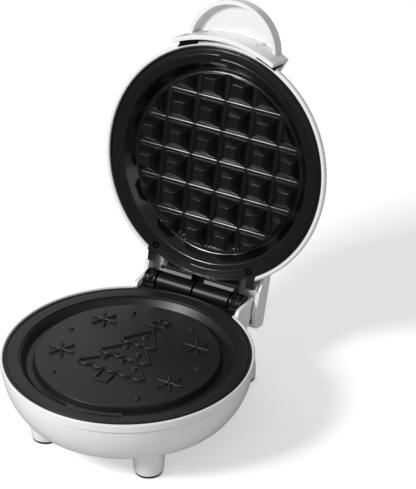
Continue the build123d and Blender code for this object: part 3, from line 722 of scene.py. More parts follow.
@dataclass
class Relief(Raised):
    """The winter picture on the lower plate: a fir, a star, baubles and snow crystals.

    Attributes:
        tree_top: place of the fir's tip.
        tiers: how many tiers it has.
        waves: scallops under the top tier, with one more under each below.
        tier_step: height of one tier.
        tier_half: half the width of the top tier.
        tier_grow: how much each tier's half is wider than the one above.
        hem_depth: depth of the scallops under a tier.
        trunk_half: half the trunk's width.
        trunk_start: where the trunk comes out below the lowest tier.
        trunk_foot: where the trunk ends below it.
        star_points: how many points the star has.
        star_tips: radius of the star's points.
        star_waist: radius between its points.
        star_lift: the star's middle above the fir's tip.
        ball_r: radius of a bauble.
        arm: half the length of a crystal's arm.
        bead_ring: distance of a crystal's beads from its middle.
        bead_r: radius of those beads.
        dot_r: radius of the loose dots.
        balls: places of the baubles.
        crystal_spots: places of the crystals.
        dots: places of the loose dots.
    """

    tree_top: float = 25.0
    tiers: int = 3
    waves: int = 3
    tier_step: float = 13.5
    tier_half: float = 9.5
    tier_grow: float = 4.6
    hem_depth: float = 2.4
    trunk_half: float = 3.6
    trunk_start: float = 3.4
    trunk_foot: float = 10.8
    star_points: int = 6
    star_tips: float = 5.2
    star_waist: float = 2.9
    star_lift: float = 6.4
    ball_r: float = 1.9
    arm: float = 6.5
    bead_ring: float = 4.3
    bead_r: float = 1.1
    dot_r: float = 1.6
    balls: tuple[Spot, ...] = ((0, 17), (-4, 5), (5, 2), (-9, -8), (1, -7), (10, -10))
    crystal_spots: tuple[Spot, ...] = ((-27, 22), (27, 22), (-31, -12), (31, -12))
    dots: tuple[Spot, ...] = ((-17, 34), (17, 34), (-37, 6), (37, 6), (-24, -31), (24, -31))

    def tree(self) -> None:
        """Draw the scalloped fir with its trunk, star and baubles."""
        for tier in range(self.tiers):
            top = self.tree_top - tier * self.tier_step
            foot = top - self.tier_step
            half = self.tier_half + tier * self.tier_grow
            neck = (half - self.tier_half) / 2
            waves = self.waves + tier
            step = 2 * half / waves
            hem = []
            for wave in range(waves):
                middle = -half + (wave + 0.5) * step
                for turn in range(0, 180, 30):
                    angle = radians(180 - turn)
                    hem.append((middle + cos(angle) * step / 2, foot - sin(angle) * self.hem_depth))
            hem.append((half, foot))
            if tier == 0:
                self.line([(0.0, top)] + hem, closed=True)
            else:
                self.line([(-neck, top)] + hem + [(neck, top)])
        hem_y = self.tree_top - self.tiers * self.tier_step
        start, end, half = hem_y - self.trunk_start, hem_y - self.trunk_foot, self.trunk_half
        self.line([(-half, start), (-half, end), (half, end), (half, start)])
        star = []
        middle = self.tree_top + self.star_lift
        for point in range(2 * self.star_points):
            reach = self.star_tips if point % 2 == 0 else self.star_waist
            angle = radians(90 + 180 / self.star_points * point)
            star.append((reach * cos(angle), middle + reach * sin(angle)))
        self.line(star, closed=True)
        for x, y in self.balls:
            self.stud(x, y, self.ball_r)

    def crystals(self) -> None:
        """Draw four snow crystals and the dots between them."""
        for x, y in self.crystal_spots:
            for side in range(6):
                angle = radians(60 * side)
                if side < 3:
                    dx, dy = self.arm * cos(angle), self.arm * sin(angle)
                    self.line([(x - dx, y - dy), (x + dx, y + dy)])
                bead_x, bead_y = self.bead_ring * cos(angle), self.bead_ring * sin(angle)
                self.stud(x + bead_x, y + bead_y, self.bead_r)
        for x, y in self.dots:
            self.stud(x, y, self.dot_r)

    def build(self, shop: Workshop) -> bpy.types.Object:
        """Make the whole relief as one piece.

        Args:
            shop: the workshop.

        Returns:
            The piece, at the origin.
        """
        self.tree()
        self.crystals()
        return shop.from_bmesh("plate_relief", self.form, PEBBLED_SHEEN, smooth=45)


@dataclass
class PegField:
    """The waffle plate's pegs: a square grid of cut pyramids inside a round field.

    Attributes:
        pitch: distance between pegs, in millimetres like the rest.
        foot: width of a peg's foot.
        top: width of its flat top.
        height: its height.
        field_r: radius of the round field.
        reserve: how far outside the field a peg's middle may lie.
        rows: pegs in a row.
        facets: flats that make up the round cut.
        edge: rounding of the pegs' edges.
        bead_gap: how much narrower a channel's bead is than the channel.
        bead_sink: how deep the beads sit in the plate's floor.
        bead_rise: height of the beads.
        rim_steps: stretches in the bead round the field.
    """

    pitch: float = 16.07
    foot: float = 13.8
    top: float = 5.9
    height: float = 5.1
    field_r: float = 46.2
    reserve: float = 2.2
    rows: int = 6
    facets: int = 48
    edge: float = 0.8
    bead_gap: float = 0.2
    bead_sink: float = 0.05
    bead_rise: float = 0.42
    rim_steps: int = 120

    def tree(self, material: bpy.types.Material) -> bpy.types.NodeTree:
        """Build the node tree that sets the pegs out.

        Args:
            material: the finish of the pegs.

        Returns:
            The tree, with its sizes as named inputs.
        """
        tree = bpy.data.node_groups.new("peg_field", "GeometryNodeTree")
        tree.interface.new_socket("Geometry", in_out="INPUT", socket_type="NodeSocketGeometry")
        for name in ("Pitch", "Foot", "Top", "Height", "Field radius"):
            tree.interface.new_socket(name, in_out="INPUT", socket_type="NodeSocketFloat")
        tree.interface.new_socket("Rows", in_out="INPUT", socket_type="NodeSocketInt")
        tree.interface.new_socket("Geometry", in_out="OUTPUT", socket_type="NodeSocketGeometry")
        given = add_node(tree, "NodeGroupInput").outputs
        gaps = add_node(tree, "ShaderNodeMath", {0: given["Rows"], 1: 1.0}, operation="SUBTRACT")
        span = add_node(
            tree, "ShaderNodeMath", {0: gaps.outputs[0], 1: given["Pitch"]}, operation="MULTIPLY"
        )
        grid = add_node(
            tree,
            "GeometryNodeMeshGrid",
            {
                "Size X": span.outputs[0],
                "Size Y": span.outputs[0],
                "Vertices X": given["Rows"],
                "Vertices Y": given["Rows"],
            },
        )
        spot = add_node(tree, "GeometryNodeInputPosition")
        reach = add_node(tree, "ShaderNodeVectorMath", {0: spot.outputs[0]}, operation="LENGTH")
        limit = add_node(
            tree,
            "ShaderNodeMath",
            {0: given["Field radius"], 1: self.reserve * MM},
            operation="ADD",
        )
        far = add_node(
            tree,
            "FunctionNodeCompare",
            {0: reach.outputs["Value"], 1: limit.outputs[0]},
            operation="GREATER_THAN",
        )
        kept = add_node(
            tree,
            "GeometryNodeDeleteGeometry",
            {"Geometry": grid.outputs["Mesh"], "Selection": far.outputs[0]},
        )
        corner = sqrt(0.5)
        low = add_node(tree, "ShaderNodeMath", {0: given["Foot"], 1: corner}, operation="MULTIPLY")
        high = add_node(tree, "ShaderNodeMath", {0: given["Top"], 1: corner}, operation="MULTIPLY")
        peg = add_node(
            tree,
            "GeometryNodeMeshCone",
            {
                "Vertices": 4,
                "Radius Top": high.outputs[0],
                "Radius Bottom": low.outputs[0],
                "Depth": given["Height"],
            },
        )
        pegs = add_node(
            tree,
            "GeometryNodeInstanceOnPoints",
            {
                "Points": kept.outputs[0],
                "Instance": peg.outputs["Mesh"],
                "Rotation": (0.0, 0.0, pi / 4),
            },
        )
        finish_tree(tree, pegs.outputs[0], material)
        return tree

    def trim(self, form: bmesh.types.BMesh, place: Place) -> None:
        """Cut the pegs off at the round edge of the field, each cut closed with a face.

        Args:
            form: the pegs, in metres.
            place: the lid's frame.
        """
        matrix = place.matrix()
        turn = matrix.to_3x3().normalized()
        for index in range(self.facets):
            angle = 2 * pi * index / self.facets
            out = Vector((cos(angle), sin(angle), 0))
            parts = form.verts[:] + form.edges[:] + form.faces[:]
            edge = matrix @ (self.field_r * out)
            cut = bmesh.ops.bisect_plane(
                form, geom=parts, plane_co=edge, plane_no=turn @ out, clear_outer=True
            )
            rim = [item for item in cut["geom_cut"] if isinstance(item, bmesh.types.BMEdge)]
            bmesh.ops.holes_fill(form, edges=[item for item in rim if item.is_boundary], sides=0)
        bmesh.ops.remove_doubles(form, verts=form.verts, dist=WELD_CUT)

    def channels(self, shop: Workshop, place: Place, floor_z: float) -> bpy.types.Object:
        """Make the slightly raised, rounded floors of the channels between the pegs.

        Args:
            shop: the workshop.
            place: the lid's frame.
            floor_z: height of the plate's floor in that frame.

        Returns:
            The piece, at the origin.
        """
        plane = place.matrix() @ Matrix.Translation((0, 0, floor_z)) @ Matrix.Rotation(pi, 4, "X")
        width = self.pitch - self.foot - self.bead_gap
        beads = Raised(plane, -self.bead_sink, self.bead_rise, width)
        for index in range(self.rows - 1):
            across = (index - self.rows / 2 + 1) * self.pitch
            reach = sqrt(self.field_r**2 - across**2)
            beads.line([(-reach, across), (reach, across)])
            beads.line([(across, -reach), (across, reach)])
        turns = [2 * pi * index / self.rim_steps for index in range(self.rim_steps)]
        rim = [(self.field_r * cos(turn), self.field_r * sin(turn)) for turn in turns]
        beads.line(rim, closed=True)
        return shop.from_bmesh("lid_channels", beads.form, COATING, smooth=45)

    def build(self, shop: Workshop, place: Place, seat_z: float) -> bpy.types.Object:
        """Make the pegs as one mesh that points out of the plate.

        Args:
            shop: the workshop.
            place: the lid's frame.
            seat_z: height of the pegs' feet in that frame.

        Returns:
            The piece, at the origin.
        """
        tree = self.tree(shop.material(COATING))
        sizes = {
            "Pitch": self.pitch * MM,
            "Foot": self.foot * MM,
            "Top": self.top * MM,
            "Height": self.height * MM,
            "Field radius": self.field_r * MM,
            "Rows": self.rows,
        }
        mesh = grown(tree, sizes, "lid_pegs")
        flip = Matrix.Rotation(pi, 4, "X")
        seat = Matrix.Translation((0, 0, seat_z))
        mesh.transform(place.matrix() @ seat @ flip @ Matrix.Scale(METRE, 4))
        form = bmesh.new()
        form.from_mesh(mesh)
        self.trim(form, place)
        piece = shop.from_bmesh("lid_pegs", form, COATING, smooth=25)
        bevelled(piece, self.edge, sharp=25, segments=3).harden_normals = True
        return piece


def finish_tree(
    tree: bpy.types.NodeTree, last: bpy.types.NodeSocket, material: bpy.types.Material
) -> None:
    """End a node tree with plain geometry that carries its finish.

    Args:
        tree: the geometry node tree.
        last: the socket that gives the instances.
        material: their finish.
    """
    real = add_node(tree, "GeometryNodeRealizeInstances", {"Geometry": last})
    painted = add_node(
        tree, "GeometryNodeSetMaterial", {"Geometry": real.outputs[0], "Material": material}
    )
    add_node(tree, "NodeGroupOutput", {"Geometry": painted.outputs[0]})


def grown(
    tree: bpy.types.NodeTree,
    sizes: dict[str, float],
    name: str,
    spots: list[Point] | None = None,
) -> bpy.types.Mesh:
    """Run a node tree and keep its result as a plain mesh.

    Args:
        tree: the geometry node tree.
        sizes: input name to value.
        name: the mesh's name.
        spots: points that go in as loose vertices, in metres.

    Returns:
        The plain mesh.
    """
    seed = bpy.data.objects.new(name + "_seed", bpy.data.meshes.new(name + "_seed"))
    seed.data.from_pydata(spots or [], [], [])
    bpy.context.scene.collection.objects.link(seed)
    modifier = seed.modifiers.new("grow", "NODES")
    modifier.node_group = tree
    for item in tree.interface.items_tree:
        if item.item_type == "SOCKET" and item.in_out == "INPUT" and item.name in sizes:
            modifier[item.identifier] = sizes[item.name]
    bpy.context.view_layer.update()
    graph = bpy.context.evaluated_depsgraph_get()
    mesh = bpy.data.meshes.new_from_object(seed.evaluated_get(graph), depsgraph=graph)
    mesh.name = name
    bpy.data.objects.remove(seed)
    return mesh


@dataclass
class ScrewSet:
    """Cross-head screws of one kind, set out on points by a node tree.

    Attributes:
        head_r: radius of the head, in millimetres like the rest.
        head: height of the head.
        shank_r: radius of the shank.
        shank: length of the shank.
        finish: what the screws are made of.
        slot: length of the cross in the head.
        blade: width of its arms.
        slot_depth: height of the cutter, of which half cuts.
        edge: rounding of the edges.
    """

    head_r: float
    head: float
    shank_r: float
    shank: float
    finish: Finish = ZINC
    slot: float = 2.4
    blade: float = 0.55
    slot_depth: float = 1.1
    edge: float = 0.18

    def tree(self, material: bpy.types.Material) -> bpy.types.NodeTree:
        """Build the tree that puts one screw on each point.

        Args:
            material: the screws' finish.

        Returns:
            The tree, with its sizes as named inputs.
        """
        tree = bpy.data.node_groups.new("screw_set", "GeometryNodeTree")
        tree.interface.new_socket("Geometry", in_out="INPUT", socket_type="NodeSocketGeometry")
        for name in ("Head radius", "Head", "Shank radius", "Shank"):
            tree.interface.new_socket(name, in_out="INPUT", socket_type="NodeSocketFloat")
        tree.interface.new_socket("Geometry", in_out="OUTPUT", socket_type="NodeSocketGeometry")
        given = add_node(tree, "NodeGroupInput").outputs
        head = add_node(
            tree,
            "GeometryNodeMeshCylinder",
            {"Vertices": 28, "Radius": given["Head radius"], "Depth": given["Head"]},
        )
        arms = []
        for across, along in ((self.slot, self.blade), (self.blade, self.slot)):
            size = (across * MM, along * MM, self.slot_depth * MM)
            bar = add_node(tree, "GeometryNodeMeshCube", {"Size": size})
            half = add_node(tree, "ShaderNodeMath", {0: given["Head"], 1: 0.5}, operation="MULTIPLY")
            lift = add_node(tree, "ShaderNodeCombineXYZ", {"Z": half.outputs[0]})
            arms.append(
                add_node(
                    tree,
                    "GeometryNodeTransform",
                    {"Geometry": bar.outputs["Mesh"], "Translation": lift.outputs[0]},
                ).outputs[0]
            )
        recess = add_node(
            tree,
            "GeometryNodeMeshBoolean",
            {"Mesh 1": head.outputs["Mesh"]},
            operation="DIFFERENCE",
        )
        for arm in arms:
            tree.links.new(arm, recess.inputs["Mesh 2"])
        shank = add_node(
            tree,
            "GeometryNodeMeshCylinder",
            {"Vertices": 20, "Radius": given["Shank radius"], "Depth": given["Shank"]},
        )
        whole = add_node(
            tree, "ShaderNodeMath", {0: given["Head"], 1: given["Shank"]}, operation="ADD"
        )
        drop = add_node(tree, "ShaderNodeMath", {0: whole.outputs[0], 1: -0.5}, operation="MULTIPLY")
        below = add_node(tree, "ShaderNodeCombineXYZ", {"Z": drop.outputs[0]})
        lowered = add_node(
            tree,
            "GeometryNodeTransform",
            {"Geometry": shank.outputs["Mesh"], "Translation": below.outputs[0]},
        )
        screw = add_node(tree, "GeometryNodeJoinGeometry")
        tree.links.new(recess.outputs[0], screw.inputs[0])
        tree.links.new(lowered.outputs[0], screw.inputs[0])
        placed = add_node(
            tree,
            "GeometryNodeInstanceOnPoints",
            {"Points": given["Geometry"], "Instance": screw.outputs[0]},
        )
        finish_tree(tree, placed.outputs[0], material)
        return tree

    def build(
        self, shop: Workshop, name: str, matrix: Matrix, spots: list[Spot], top: float
    ) -> bpy.types.Object:
        """Make the screws of one set as one mesh.

        Args:
            shop: the workshop.
            name: the piece's name.
            matrix: from the set's frame, in millimetres with z out of the heads, to metres.
            spots: (x, y) of each screw in that frame.
            top: height of the heads' tops.

        Returns:
            The piece, at the origin.
        """
        tree = self.tree(shop.material(self.finish))
        sizes = {
            "Head radius": self.head_r * MM,
            "Head": self.head * MM,
            "Shank radius": self.shank_r * MM,
            "Shank": self.shank * MM,
        }
        seats = [(x * MM, y * MM, (top - self.head / 2) * MM) for x, y in spots]
        mesh = grown(tree, sizes, name, seats)
        mesh.transform(matrix @ Matrix.Scale(METRE, 4))
        form = bmesh.new()
        form.from_mesh(mesh)
        piece = shop.from_bmesh(name, form, self.finish, smooth=30)
        bevelled(piece, self.edge, sharp=40)
        return piece


@dataclass
class BaseUnit:
    """The lower half: bowl, rim, relief plate, saddle, feet and what is inside.

    Each outline is a row of corners as (radius, height, rounding).

    Attributes:
        shop: the workshop.
        sizes: the shared sizes.
        shell_edge: edge rounding of the bowl, in millimetres like the rest.
        fine_edge: edge rounding of the rim ring and the foot pads.
        saddle_edge: edge rounding of the saddle.
        flange: outline of the plate's flange, from its outer edge to the top of the wall.
        moat: outline of the moat round the cooking face.
        face_r: radius of the cooking face.
        face_z: its height.
        back: outline of the plate's underside, from the middle outwards.
        corner_x: the four screw bosses' place across.
        corner_y: their place to the front and rear.
        corner_r: their radius.
        corner_low: how far down they reach.
        shield_ring: distance of the heat shield's three bosses from the middle.
        shield_turns: where they stand, in degrees.
        shield_r: their radius.
        shield_low: how far down they reach.
        boss_high: where all bosses join the plate.
        step: outline of the raised arc on the flange.
        step_start: where that arc starts, in degrees.
        step_arc: how far round it goes.
        screw_spots: places of the saddle's screws.
        screw_top: height of their heads.
    """

    shop: Workshop
    sizes: Sizes
    shell_edge: float = 0.35
    fine_edge: float = 0.15
    saddle_edge: float = 0.3
    flange: tuple[Point, ...] = (
        (61.8, -2.6, 0.2),
        (61.8, 0.0, 0.35),
        (60.9, 0.0, 0.15),
        (60.7, -0.5, 0.12),
        (60.1, -0.5, 0.12),
        (59.9, 0.0, 0.3),
        (54.0, 0.0, 0.35),
        (54.0, -0.8, 0.2),
        (53.2, -0.8, 0.4),
    )
    moat: tuple[Point, ...] = ((50.4, -4.2, 1.0), (47.2, -4.2, 0.6))
    face_r: float = 46.0
    face_z: float = -0.4
    back: tuple[Point, ...] = (
        (0.0, -3.2, 0.0),
        (44.0, -3.2, 0.5),
        (45.2, -7.0, 0.5),
        (52.4, -7.0, 0.5),
        (55.6, -2.6, 0.4),
    )
    corner_x: float = 29.8
    corner_y: float = 30.8
    corner_r: float = 3.6
    corner_low: float = -9.0
    shield_ring: float = 19.0
    shield_turns: tuple[int, ...] = (90, 210, 330)
    shield_r: float = 3.0
    shield_low: float = -11.4
    boss_high: float = -3.0
    step: tuple[Point, ...] = (
        (54.6, -0.9, 0.1),
        (54.6, 0.45, 0.35),
        (52.4, 0.45, 0.4),
        (50.9, -4.3, 0.1),
    )
    step_start: float = 268.0
    step_arc: float = 30.0
    screw_spots: tuple[Spot, ...] = ((25.4, 64.8), (-25.4, 64.8))
    screw_top: float = 3.4

    def shells(self) -> None:
        """Make the bowl, its rim ring and the foot pads."""
        bowl = self.shop.softened("base_shell", "base_bowl", WHITE, self.shell_edge)
        self.shop.seat(bowl, Body.BASE, "white_gloss", "base_shell")
        rim = self.shop.softened("base_rim", "base_rim_ring", WHITE, self.fine_edge)
        self.shop.seat(rim, Body.BASE, "white_gloss", "base_rim")
        pads = self.shop.softened("foot_pads", "foot_pad_set", RUBBER, self.fine_edge)
        self.shop.seat(pads, Body.BASE, "pad_rubber", "foot_pads")

    def plate(self) -> None:
        """Make the relief plate as a turned pan with its moat, bosses and raised lines."""
        face = [(self.face_r, self.face_z, 0.6), (0.0, self.face_z, 0.0)]
        place = self.sizes.base()
        form = turned(rounded([*self.flange, *self.moat, *face, *self.back]), place, steps=192)
        sides = (-self.corner_x, self.corner_x)
        corners = [(x, y) for x in sides for y in (-self.corner_y, self.corner_y)]
        turns = [radians(turn) for turn in self.shield_turns]
        ring = [(self.shield_ring * cos(turn), self.shield_ring * sin(turn)) for turn in turns]
        posts(form, place, corners, self.corner_r, self.corner_low, self.boss_high)
        posts(form, place, ring, self.shield_r, self.shield_low, self.boss_high)
        plate = self.shop.from_bmesh("relief_plate", form, PEBBLED_SHEEN, smooth=30)
        self.shop.seat(plate, Body.BASE, "black_coating", "base_plate")
        rib = turned(rounded(list(self.step)), place, self.step_start, self.step_arc, steps=48)
        piece = self.shop.from_bmesh("plate_step", rib, PEBBLED_SHEEN, smooth=30)
        self.shop.seat(piece, Body.BASE, "black_coating", "base_plate")
        relief = Relief(place.matrix(), self.face_z).build(self.shop)
        self.shop.seat(relief, Body.BASE, "black_coating", "base_plate")

    def saddle(self) -> None:
        """Make the saddle that carries the pin, and its screws."""
        saddle = self.shop.softened("base_hinge_saddle", "hinge_saddle", NYLON, self.saddle_edge)
        self.shop.seat(saddle, Body.BASE, "black_plastic", "base_hinge_saddle")
        screws = ScrewSet(head_r=2.1, head=1.6, shank_r=1.4, shank=14.3)
        place = self.sizes.base().matrix()
        spots = list(self.screw_spots)
        piece = screws.build(self.shop, "saddle_screw_set", place, spots, self.screw_top)
        self.shop.seat(piece, Body.BASE, "screw_steel", "saddle_screws")

    def insides(self) -> None:
        """Dress the parts inside the bowl."""
        for node, finish in (
            ("base_element", TUBE),
            ("base_element_clamps", ZINC),
            ("base_heat_shield", SHEET),
            ("base_shield_screws", ZINC),
            ("thermal_fuse", CERAMIC),
            ("fuse_clip", ZINC),
            ("base_screws", ZINC),
            ("terminal_block", CERAMIC),
            ("base_leads", SLEEVE),
            ("hinge_pin", ZINC),
            ("hinge_washers", ZINC),
            ("cord_gland", NYLON),
        ):
            self.shop.dress_node(node, finish)

    def build(self) -> None:
        """Make the whole lower half."""
        self.shells()
        self.plate()
        self.saddle()
        self.insides()


@dataclass
class LidUnit:
    """The upper half: dome, rim, waffle plate, hinge bracket and what is inside.

    Each outline is a row of corners as (radius, height, rounding).

    Attributes:
        shop: the workshop.
        sizes: the shared sizes.
        shell_edge: edge rounding of the dome, in millimetres like the rest.
        ring_edge: edge rounding of the rim ring.
        bracket_edge: edge rounding of the hinge bracket.
        flange: outline of the plate's flange, from its outer edge to the top of the wall.
        floor_r: radius of the floor that carries the pegs.
        floor_z: its height, towards the inside of the dome.
        back: outline of the side inside the dome, from the middle outwards.
        tab_spot: middle of the right one of the two tabs at the hinge.
        tab_size: their width, depth and thickness.
        peg_sink: how deep the pegs' feet sit in the floor.
        steps: first angle, arc, outer and inner radius of each raised arc on the flange.
        step_foot: height of the arcs' feet, inside the flange.
        step_top: height of their tops, outside it.
        screw_spots: places of the plate's screws, with the plate turned face up.
    """

    shop: Workshop
    sizes: Sizes
    shell_edge: float = 0.35
    ring_edge: float = 0.15
    bracket_edge: float = 0.3
    flange: tuple[Point, ...] = (
        (61.0, 2.6, 0.2),
        (61.0, 0.0, 0.35),
        (60.1, 0.0, 0.2),
        (59.9, 0.5, 0.15),
        (59.3, 0.5, 0.15),
        (59.1, 0.0, 0.2),
        (52.6, 0.0, 0.9),
    )
    floor_r: float = 48.4
    floor_z: float = 5.2
    back: tuple[Point, ...] = ((0.0, 8.0, 0.0), (50.4, 8.0, 1.0), (55.2, 2.6, 0.5))
    tab_spot: Point = (29.0, 55.0, 1.3)
    tab_size: Point = (4.8, 10.0, 2.56)
    peg_sink: float = 0.3
    steps: tuple[tuple[float, float, float, float], ...] = (
        (236.8, 29.0, 57.0, 55.2),
        (267.0, 42.0, 55.0, 53.8),
        (64.0, 32.0, 57.2, 55.6),
    )
    step_foot: float = 0.6
    step_top: float = -0.4
    screw_spots: tuple[Spot, ...] = ((27.5, -50.8), (-27.5, -50.8))

    def shells(self) -> None:
        """Make the dome with its housing, and the rim ring."""
        dome = self.shop.softened("lid_shell", "lid_dome", WHITE, self.shell_edge)
        self.shop.seat(dome, Body.LID, "white_gloss", "lid_shell")
        rim = self.shop.softened("lid_rim", "lid_rim_ring", WHITE, self.ring_edge)
        self.shop.seat(rim, Body.LID, "white_gloss", "lid_rim")

    def plate(self) -> None:
        """Make the waffle plate as a turned pan with a field of pegs."""
        face = [(self.floor_r, self.floor_z, 1.2), (0.0, self.floor_z, 0.0)]
        place = self.sizes.lid()
        form = turned(rounded([*self.flange, *face, *self.back]), place)
        across, rear, rise = self.tab_spot
        for side in (-1, 1):
            tab = bmesh.ops.create_cube(form, size=1.0)["verts"]
            spot = Matrix.Translation((side * across, rear, rise))
            block = spot @ Matrix.Diagonal((*self.tab_size, 1.0))
            bmesh.ops.transform(form, matrix=place.matrix() @ block, verts=tab)
        pan = self.shop.from_bmesh("lid_pan", form, COATING, smooth=30)
        self.shop.seat(pan, Body.LID, "black_coating", "lid_plate")
        grid = PegField()
        pegs = grid.build(self.shop, place, self.floor_z + self.peg_sink)
        self.shop.seat(pegs, Body.LID, "black_coating", "lid_plate")
        beads = grid.channels(self.shop, place, self.floor_z)
        self.shop.seat(beads, Body.LID, "black_coating", "lid_plate")
        for start, arc, outer, inner in self.steps:
            edge = [
                (outer, self.step_foot, 0.1),
                (outer, self.step_top, 0.3),
                (inner, self.step_top, 0.3),
                (inner, self.step_foot, 0.1),
            ]
            form = turned(rounded(edge), place, start, arc, steps=40)
            rib = self.shop.from_bmesh("lid_step", form, COATING, smooth=30)
            self.shop.seat(rib, Body.LID, "black_coating", "lid_plate")

    def bracket(self) -> None:
        """Make the hinge bracket with its two knuckles, and the plate's screws."""
        bracket = self.shop.softened("lid_hinge_bracket", "hinge_bracket", NYLON, self.bracket_edge)
        self.shop.seat(bracket, Body.LID, "black_plastic", "lid_hinge_bracket")
        place = self.sizes.lid().matrix() @ Matrix.Rotation(pi, 4, "X")
        screws = ScrewSet(head_r=2.0, head=1.6, shank_r=1.4, shank=7.8, finish=BLACKED)
        spots = list(self.screw_spots)
        piece = screws.build(self.shop, "lid_screw_set", place, spots, top=0.0)
        self.shop.seat(piece, Body.LID, "screw_steel", "lid_screws")

    def insides(self) -> None:
        """Dress the parts inside the dome."""
        for node, finish in (
            ("lid_element", TUBE),
            ("lid_element_clamps", ZINC),
            ("lid_heat_shield", SHEET),
            ("lid_shield_screws", ZINC),
            ("bracket_screws", ZINC),
            ("thermostat", SHEET),
            ("lid_leads", SLEEVE),
            ("handle_screws", ZINC),
        ):
            self.shop.dress_node(node, finish)

    def build(self) -> None:
        """Make the whole upper half."""
        self.shells()
        self.plate()
        self.bracket()
        self.insides()


@dataclass
class Grip:
    """The half-round grip on the lid with its curved lip and dark insert.

    Attributes:
        shop: the workshop.
        edge: edge rounding of the grip, in millimetres.
        insert_edge: edge rounding of the insert.
    """

    shop: Workshop
    edge: float = 0.45
    insert_edge: float = 0.15

    def build(self) -> None:
        """Make the grip and its insert."""
        grip = self.shop.softened("handle", "grip", WHITE, self.edge)
        self.shop.seat(grip, Body.LID, "white_gloss", "handle")
        insert = self.shop.softened("handle_insert", "grip_insert", NYLON, self.insert_edge)
        self.shop.seat(insert, Body.LID, "black_plastic", "handle_insert")


@dataclass(frozen=True)
class Lamp:
    """One square soft lamp.

    Attributes:
        name: its name.
        spot: where it hangs, in metres.
        side: its width in metres.
        watts: its power.
    """

    name: str
    spot: Point
    side: float
    watts: float

    def hang(self, aim: Point) -> None:
        """Hang the lamp and turn it to what it lights.

        Args:
            aim: what it points at, in metres.
        """
        data = bpy.data.lights.new(self.name, "AREA")
        data.shape = "SQUARE"
        data.size = self.side
        data.energy = self.watts
        lamp = bpy.data.objects.new(self.name, data)
        lamp.location = self.spot
        lamp.rotation_mode = "QUATERNION"
        lamp.rotation_quaternion = (Vector(aim) - Vector(self.spot)).to_track_quat("-Z", "Y")
        bpy.context.scene.collection.objects.link(lamp)


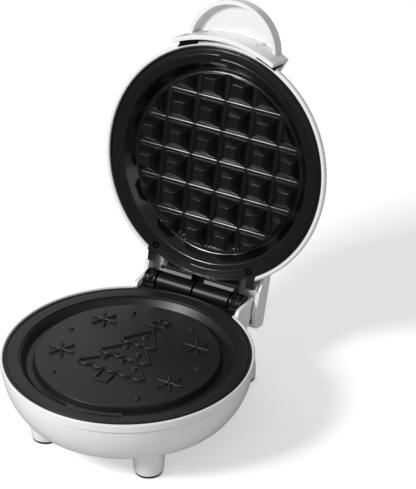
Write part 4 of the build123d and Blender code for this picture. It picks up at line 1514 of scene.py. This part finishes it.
@dataclass
class Studio:
    """Pale floor, soft lamps and the camera at the photograph's angle.

    Attributes:
        sizes: the shared sizes.
        azimuth: how far right of the front the camera stands, in degrees.
        elevation: how far above it looks from, in degrees.
        roll: its tilt to the side, in degrees.
        unit: millimetres in one unit of the three places below.
        shift_x: the plate's middle, right of the camera's line of sight.
        shift_y: the plate's middle, above that line.
        distance: how far back the camera stands.
        focal_px: focal length in pixels of the picture.
        long_side: the picture's longer side in pixels.
        sensor: width of the sensor in millimetres.
        near: nearest distance that the camera sees, in metres.
        far: farthest distance that it sees.
        floor_half: half the floor's width in metres.
        floor_colour: the floor's colour.
        floor_dim: the floor's colour in reflections, darker than its own colour: painted shade on
            the floor's reflections.
        floor_glow: light added to the floor where the camera sees it.
        aim: what the lamps point at, in metres.
        lamps: the lamps.
        sky: strength of the sky on the object.
        dusk: strength of the sky in reflections.
    """

    sizes: Sizes
    azimuth: float = 29.63
    elevation: float = 31.17
    roll: float = -0.22
    unit: float = 1.03
    shift_x: float = -38.76
    shift_y: float = -52.66
    distance: float = 1321.21
    focal_px: float = 2741.6
    long_side: float = 489.0
    sensor: float = 36.0
    near: float = 0.05
    far: float = 20.0
    floor_half: float = 6.0
    floor_colour: str = "E6E6E6"
    floor_dim: str = "4A4A4A"
    floor_glow: float = 0.4
    aim: Point = (0, 0, 0.06)
    lamps: tuple[Lamp, ...] = (
        Lamp("key", (-0.72, -1.18, 1.12), 0.42, 24.0),
        Lamp("fill", (1.3, -0.7, 0.9), 1.0, 1.6),
        Lamp("rear", (-1.0, 1.5, 1.0), 2.2, 7.0),
    )
    sky: float = 0.36
    dusk: float = 0.2

    def camera(self) -> None:
        """Place the camera where the photograph was taken from."""
        azimuth, elevation = radians(self.azimuth), radians(self.elevation)
        roll = radians(self.roll)
        flat = cos(elevation)
        right = Vector((cos(azimuth), sin(azimuth), 0))
        back = Vector((sin(azimuth) * flat, -cos(azimuth) * flat, sin(elevation)))
        up = back.cross(right)
        across = cos(roll) * right + sin(roll) * up
        above = -sin(roll) * right + cos(roll) * up
        spot = self.unit * (-self.shift_x * across - self.shift_y * above + self.distance * back)
        spot += Vector((0, self.sizes.base_y, self.sizes.seam_height))
        data = bpy.data.cameras.new("view")
        data.sensor_width = self.sensor
        data.lens = self.focal_px / self.long_side * self.sensor
        data.clip_start, data.clip_end = self.near, self.far
        camera = bpy.data.objects.new("view", data)
        turn = Matrix((across, above, back)).transposed().to_4x4()
        camera.matrix_world = Matrix.Translation(spot * MM) @ turn
        bpy.context.scene.collection.objects.link(camera)
        bpy.context.scene.camera = camera

    def floor(self) -> None:
        """Lay a pale floor that shows white to the camera, keeps the shadow and shows painted shade
        in its reflections.
        """
        form = bmesh.new()
        bmesh.ops.create_grid(form, x_segments=1, y_segments=1, size=self.floor_half)
        mesh = bpy.data.meshes.new("floor")
        form.to_mesh(mesh)
        form.free()
        floor = bpy.data.objects.new("floor", mesh)
        bpy.context.scene.collection.objects.link(floor)
        material = bpy.data.materials.new("pale_floor")
        material.use_nodes = True
        tree = material.node_tree
        tree.nodes.clear()
        plain = add_node(tree, "ShaderNodeBsdfDiffuse", {"Color": linear(self.floor_colour)})
        light = {"Color": (1, 1, 1, 1), "Strength": self.floor_glow}
        glow = add_node(tree, "ShaderNodeEmission", light)
        both = add_node(tree, "ShaderNodeAddShader", {0: plain.outputs[0], 1: glow.outputs[0]})
        ray = add_node(tree, "ShaderNodeLightPath").outputs
        # The floor shows a darker colour in glossy rays only: painted shade on its reflections.
        dim = add_node(tree, "ShaderNodeBsdfDiffuse", {"Color": linear(self.floor_dim)})
        lit = add_node(
            tree,
            "ShaderNodeMixShader",
            {0: ray["Is Glossy Ray"], 1: plain.outputs[0], 2: dim.outputs[0]},
        )
        mixed = add_node(
            tree,
            "ShaderNodeMixShader",
            {0: ray["Is Camera Ray"], 1: lit.outputs[0], 2: both.outputs[0]},
        )
        add_node(tree, "ShaderNodeOutputMaterial", {"Surface": mixed.outputs[0]})
        mesh.materials.append(material)

    def light(self) -> None:
        """Light the object from the left front, with a soft fill and a pale sky."""
        for lamp in self.lamps:
            lamp.hang(self.aim)
        world = bpy.data.worlds.new("studio")
        world.use_nodes = True
        tree = world.node_tree
        tree.nodes.clear()
        ray = add_node(tree, "ShaderNodeLightPath").outputs
        mirrored = add_node(
            tree, "ShaderNodeMapRange", {0: ray["Is Glossy Ray"], 3: self.sky, 4: self.dusk}
        )
        seen = add_node(
            tree,
            "ShaderNodeMapRange",
            {0: ray["Is Camera Ray"], 3: mirrored.outputs[0], 4: 1.0},
        )
        light = {"Color": (1, 1, 1, 1), "Strength": seen.outputs[0]}
        sky = add_node(tree, "ShaderNodeBackground", light)
        add_node(tree, "ShaderNodeOutputWorld", {"Surface": sky.outputs[0]})
        bpy.context.scene.world = world

    def build(self) -> None:
        """Set up the whole studio."""
        self.camera()
        self.floor()
        self.light()
        bpy.context.scene.view_settings.view_transform = "Standard"


def main() -> None:
    """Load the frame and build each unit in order."""
    logging.basicConfig(level=logging.INFO)
    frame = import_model()
    sizes = Sizes()
    sizes.base_y = frame["joints"][0]["pos_m"][1] * METRE - sizes.hinge_y
    shop = Workshop(frame)
    Studio(sizes).build()
    BaseUnit(shop, sizes).build()
    LidUnit(shop, sizes).build()
    Grip(shop).build()


if __name__ == "__main__":
    main()
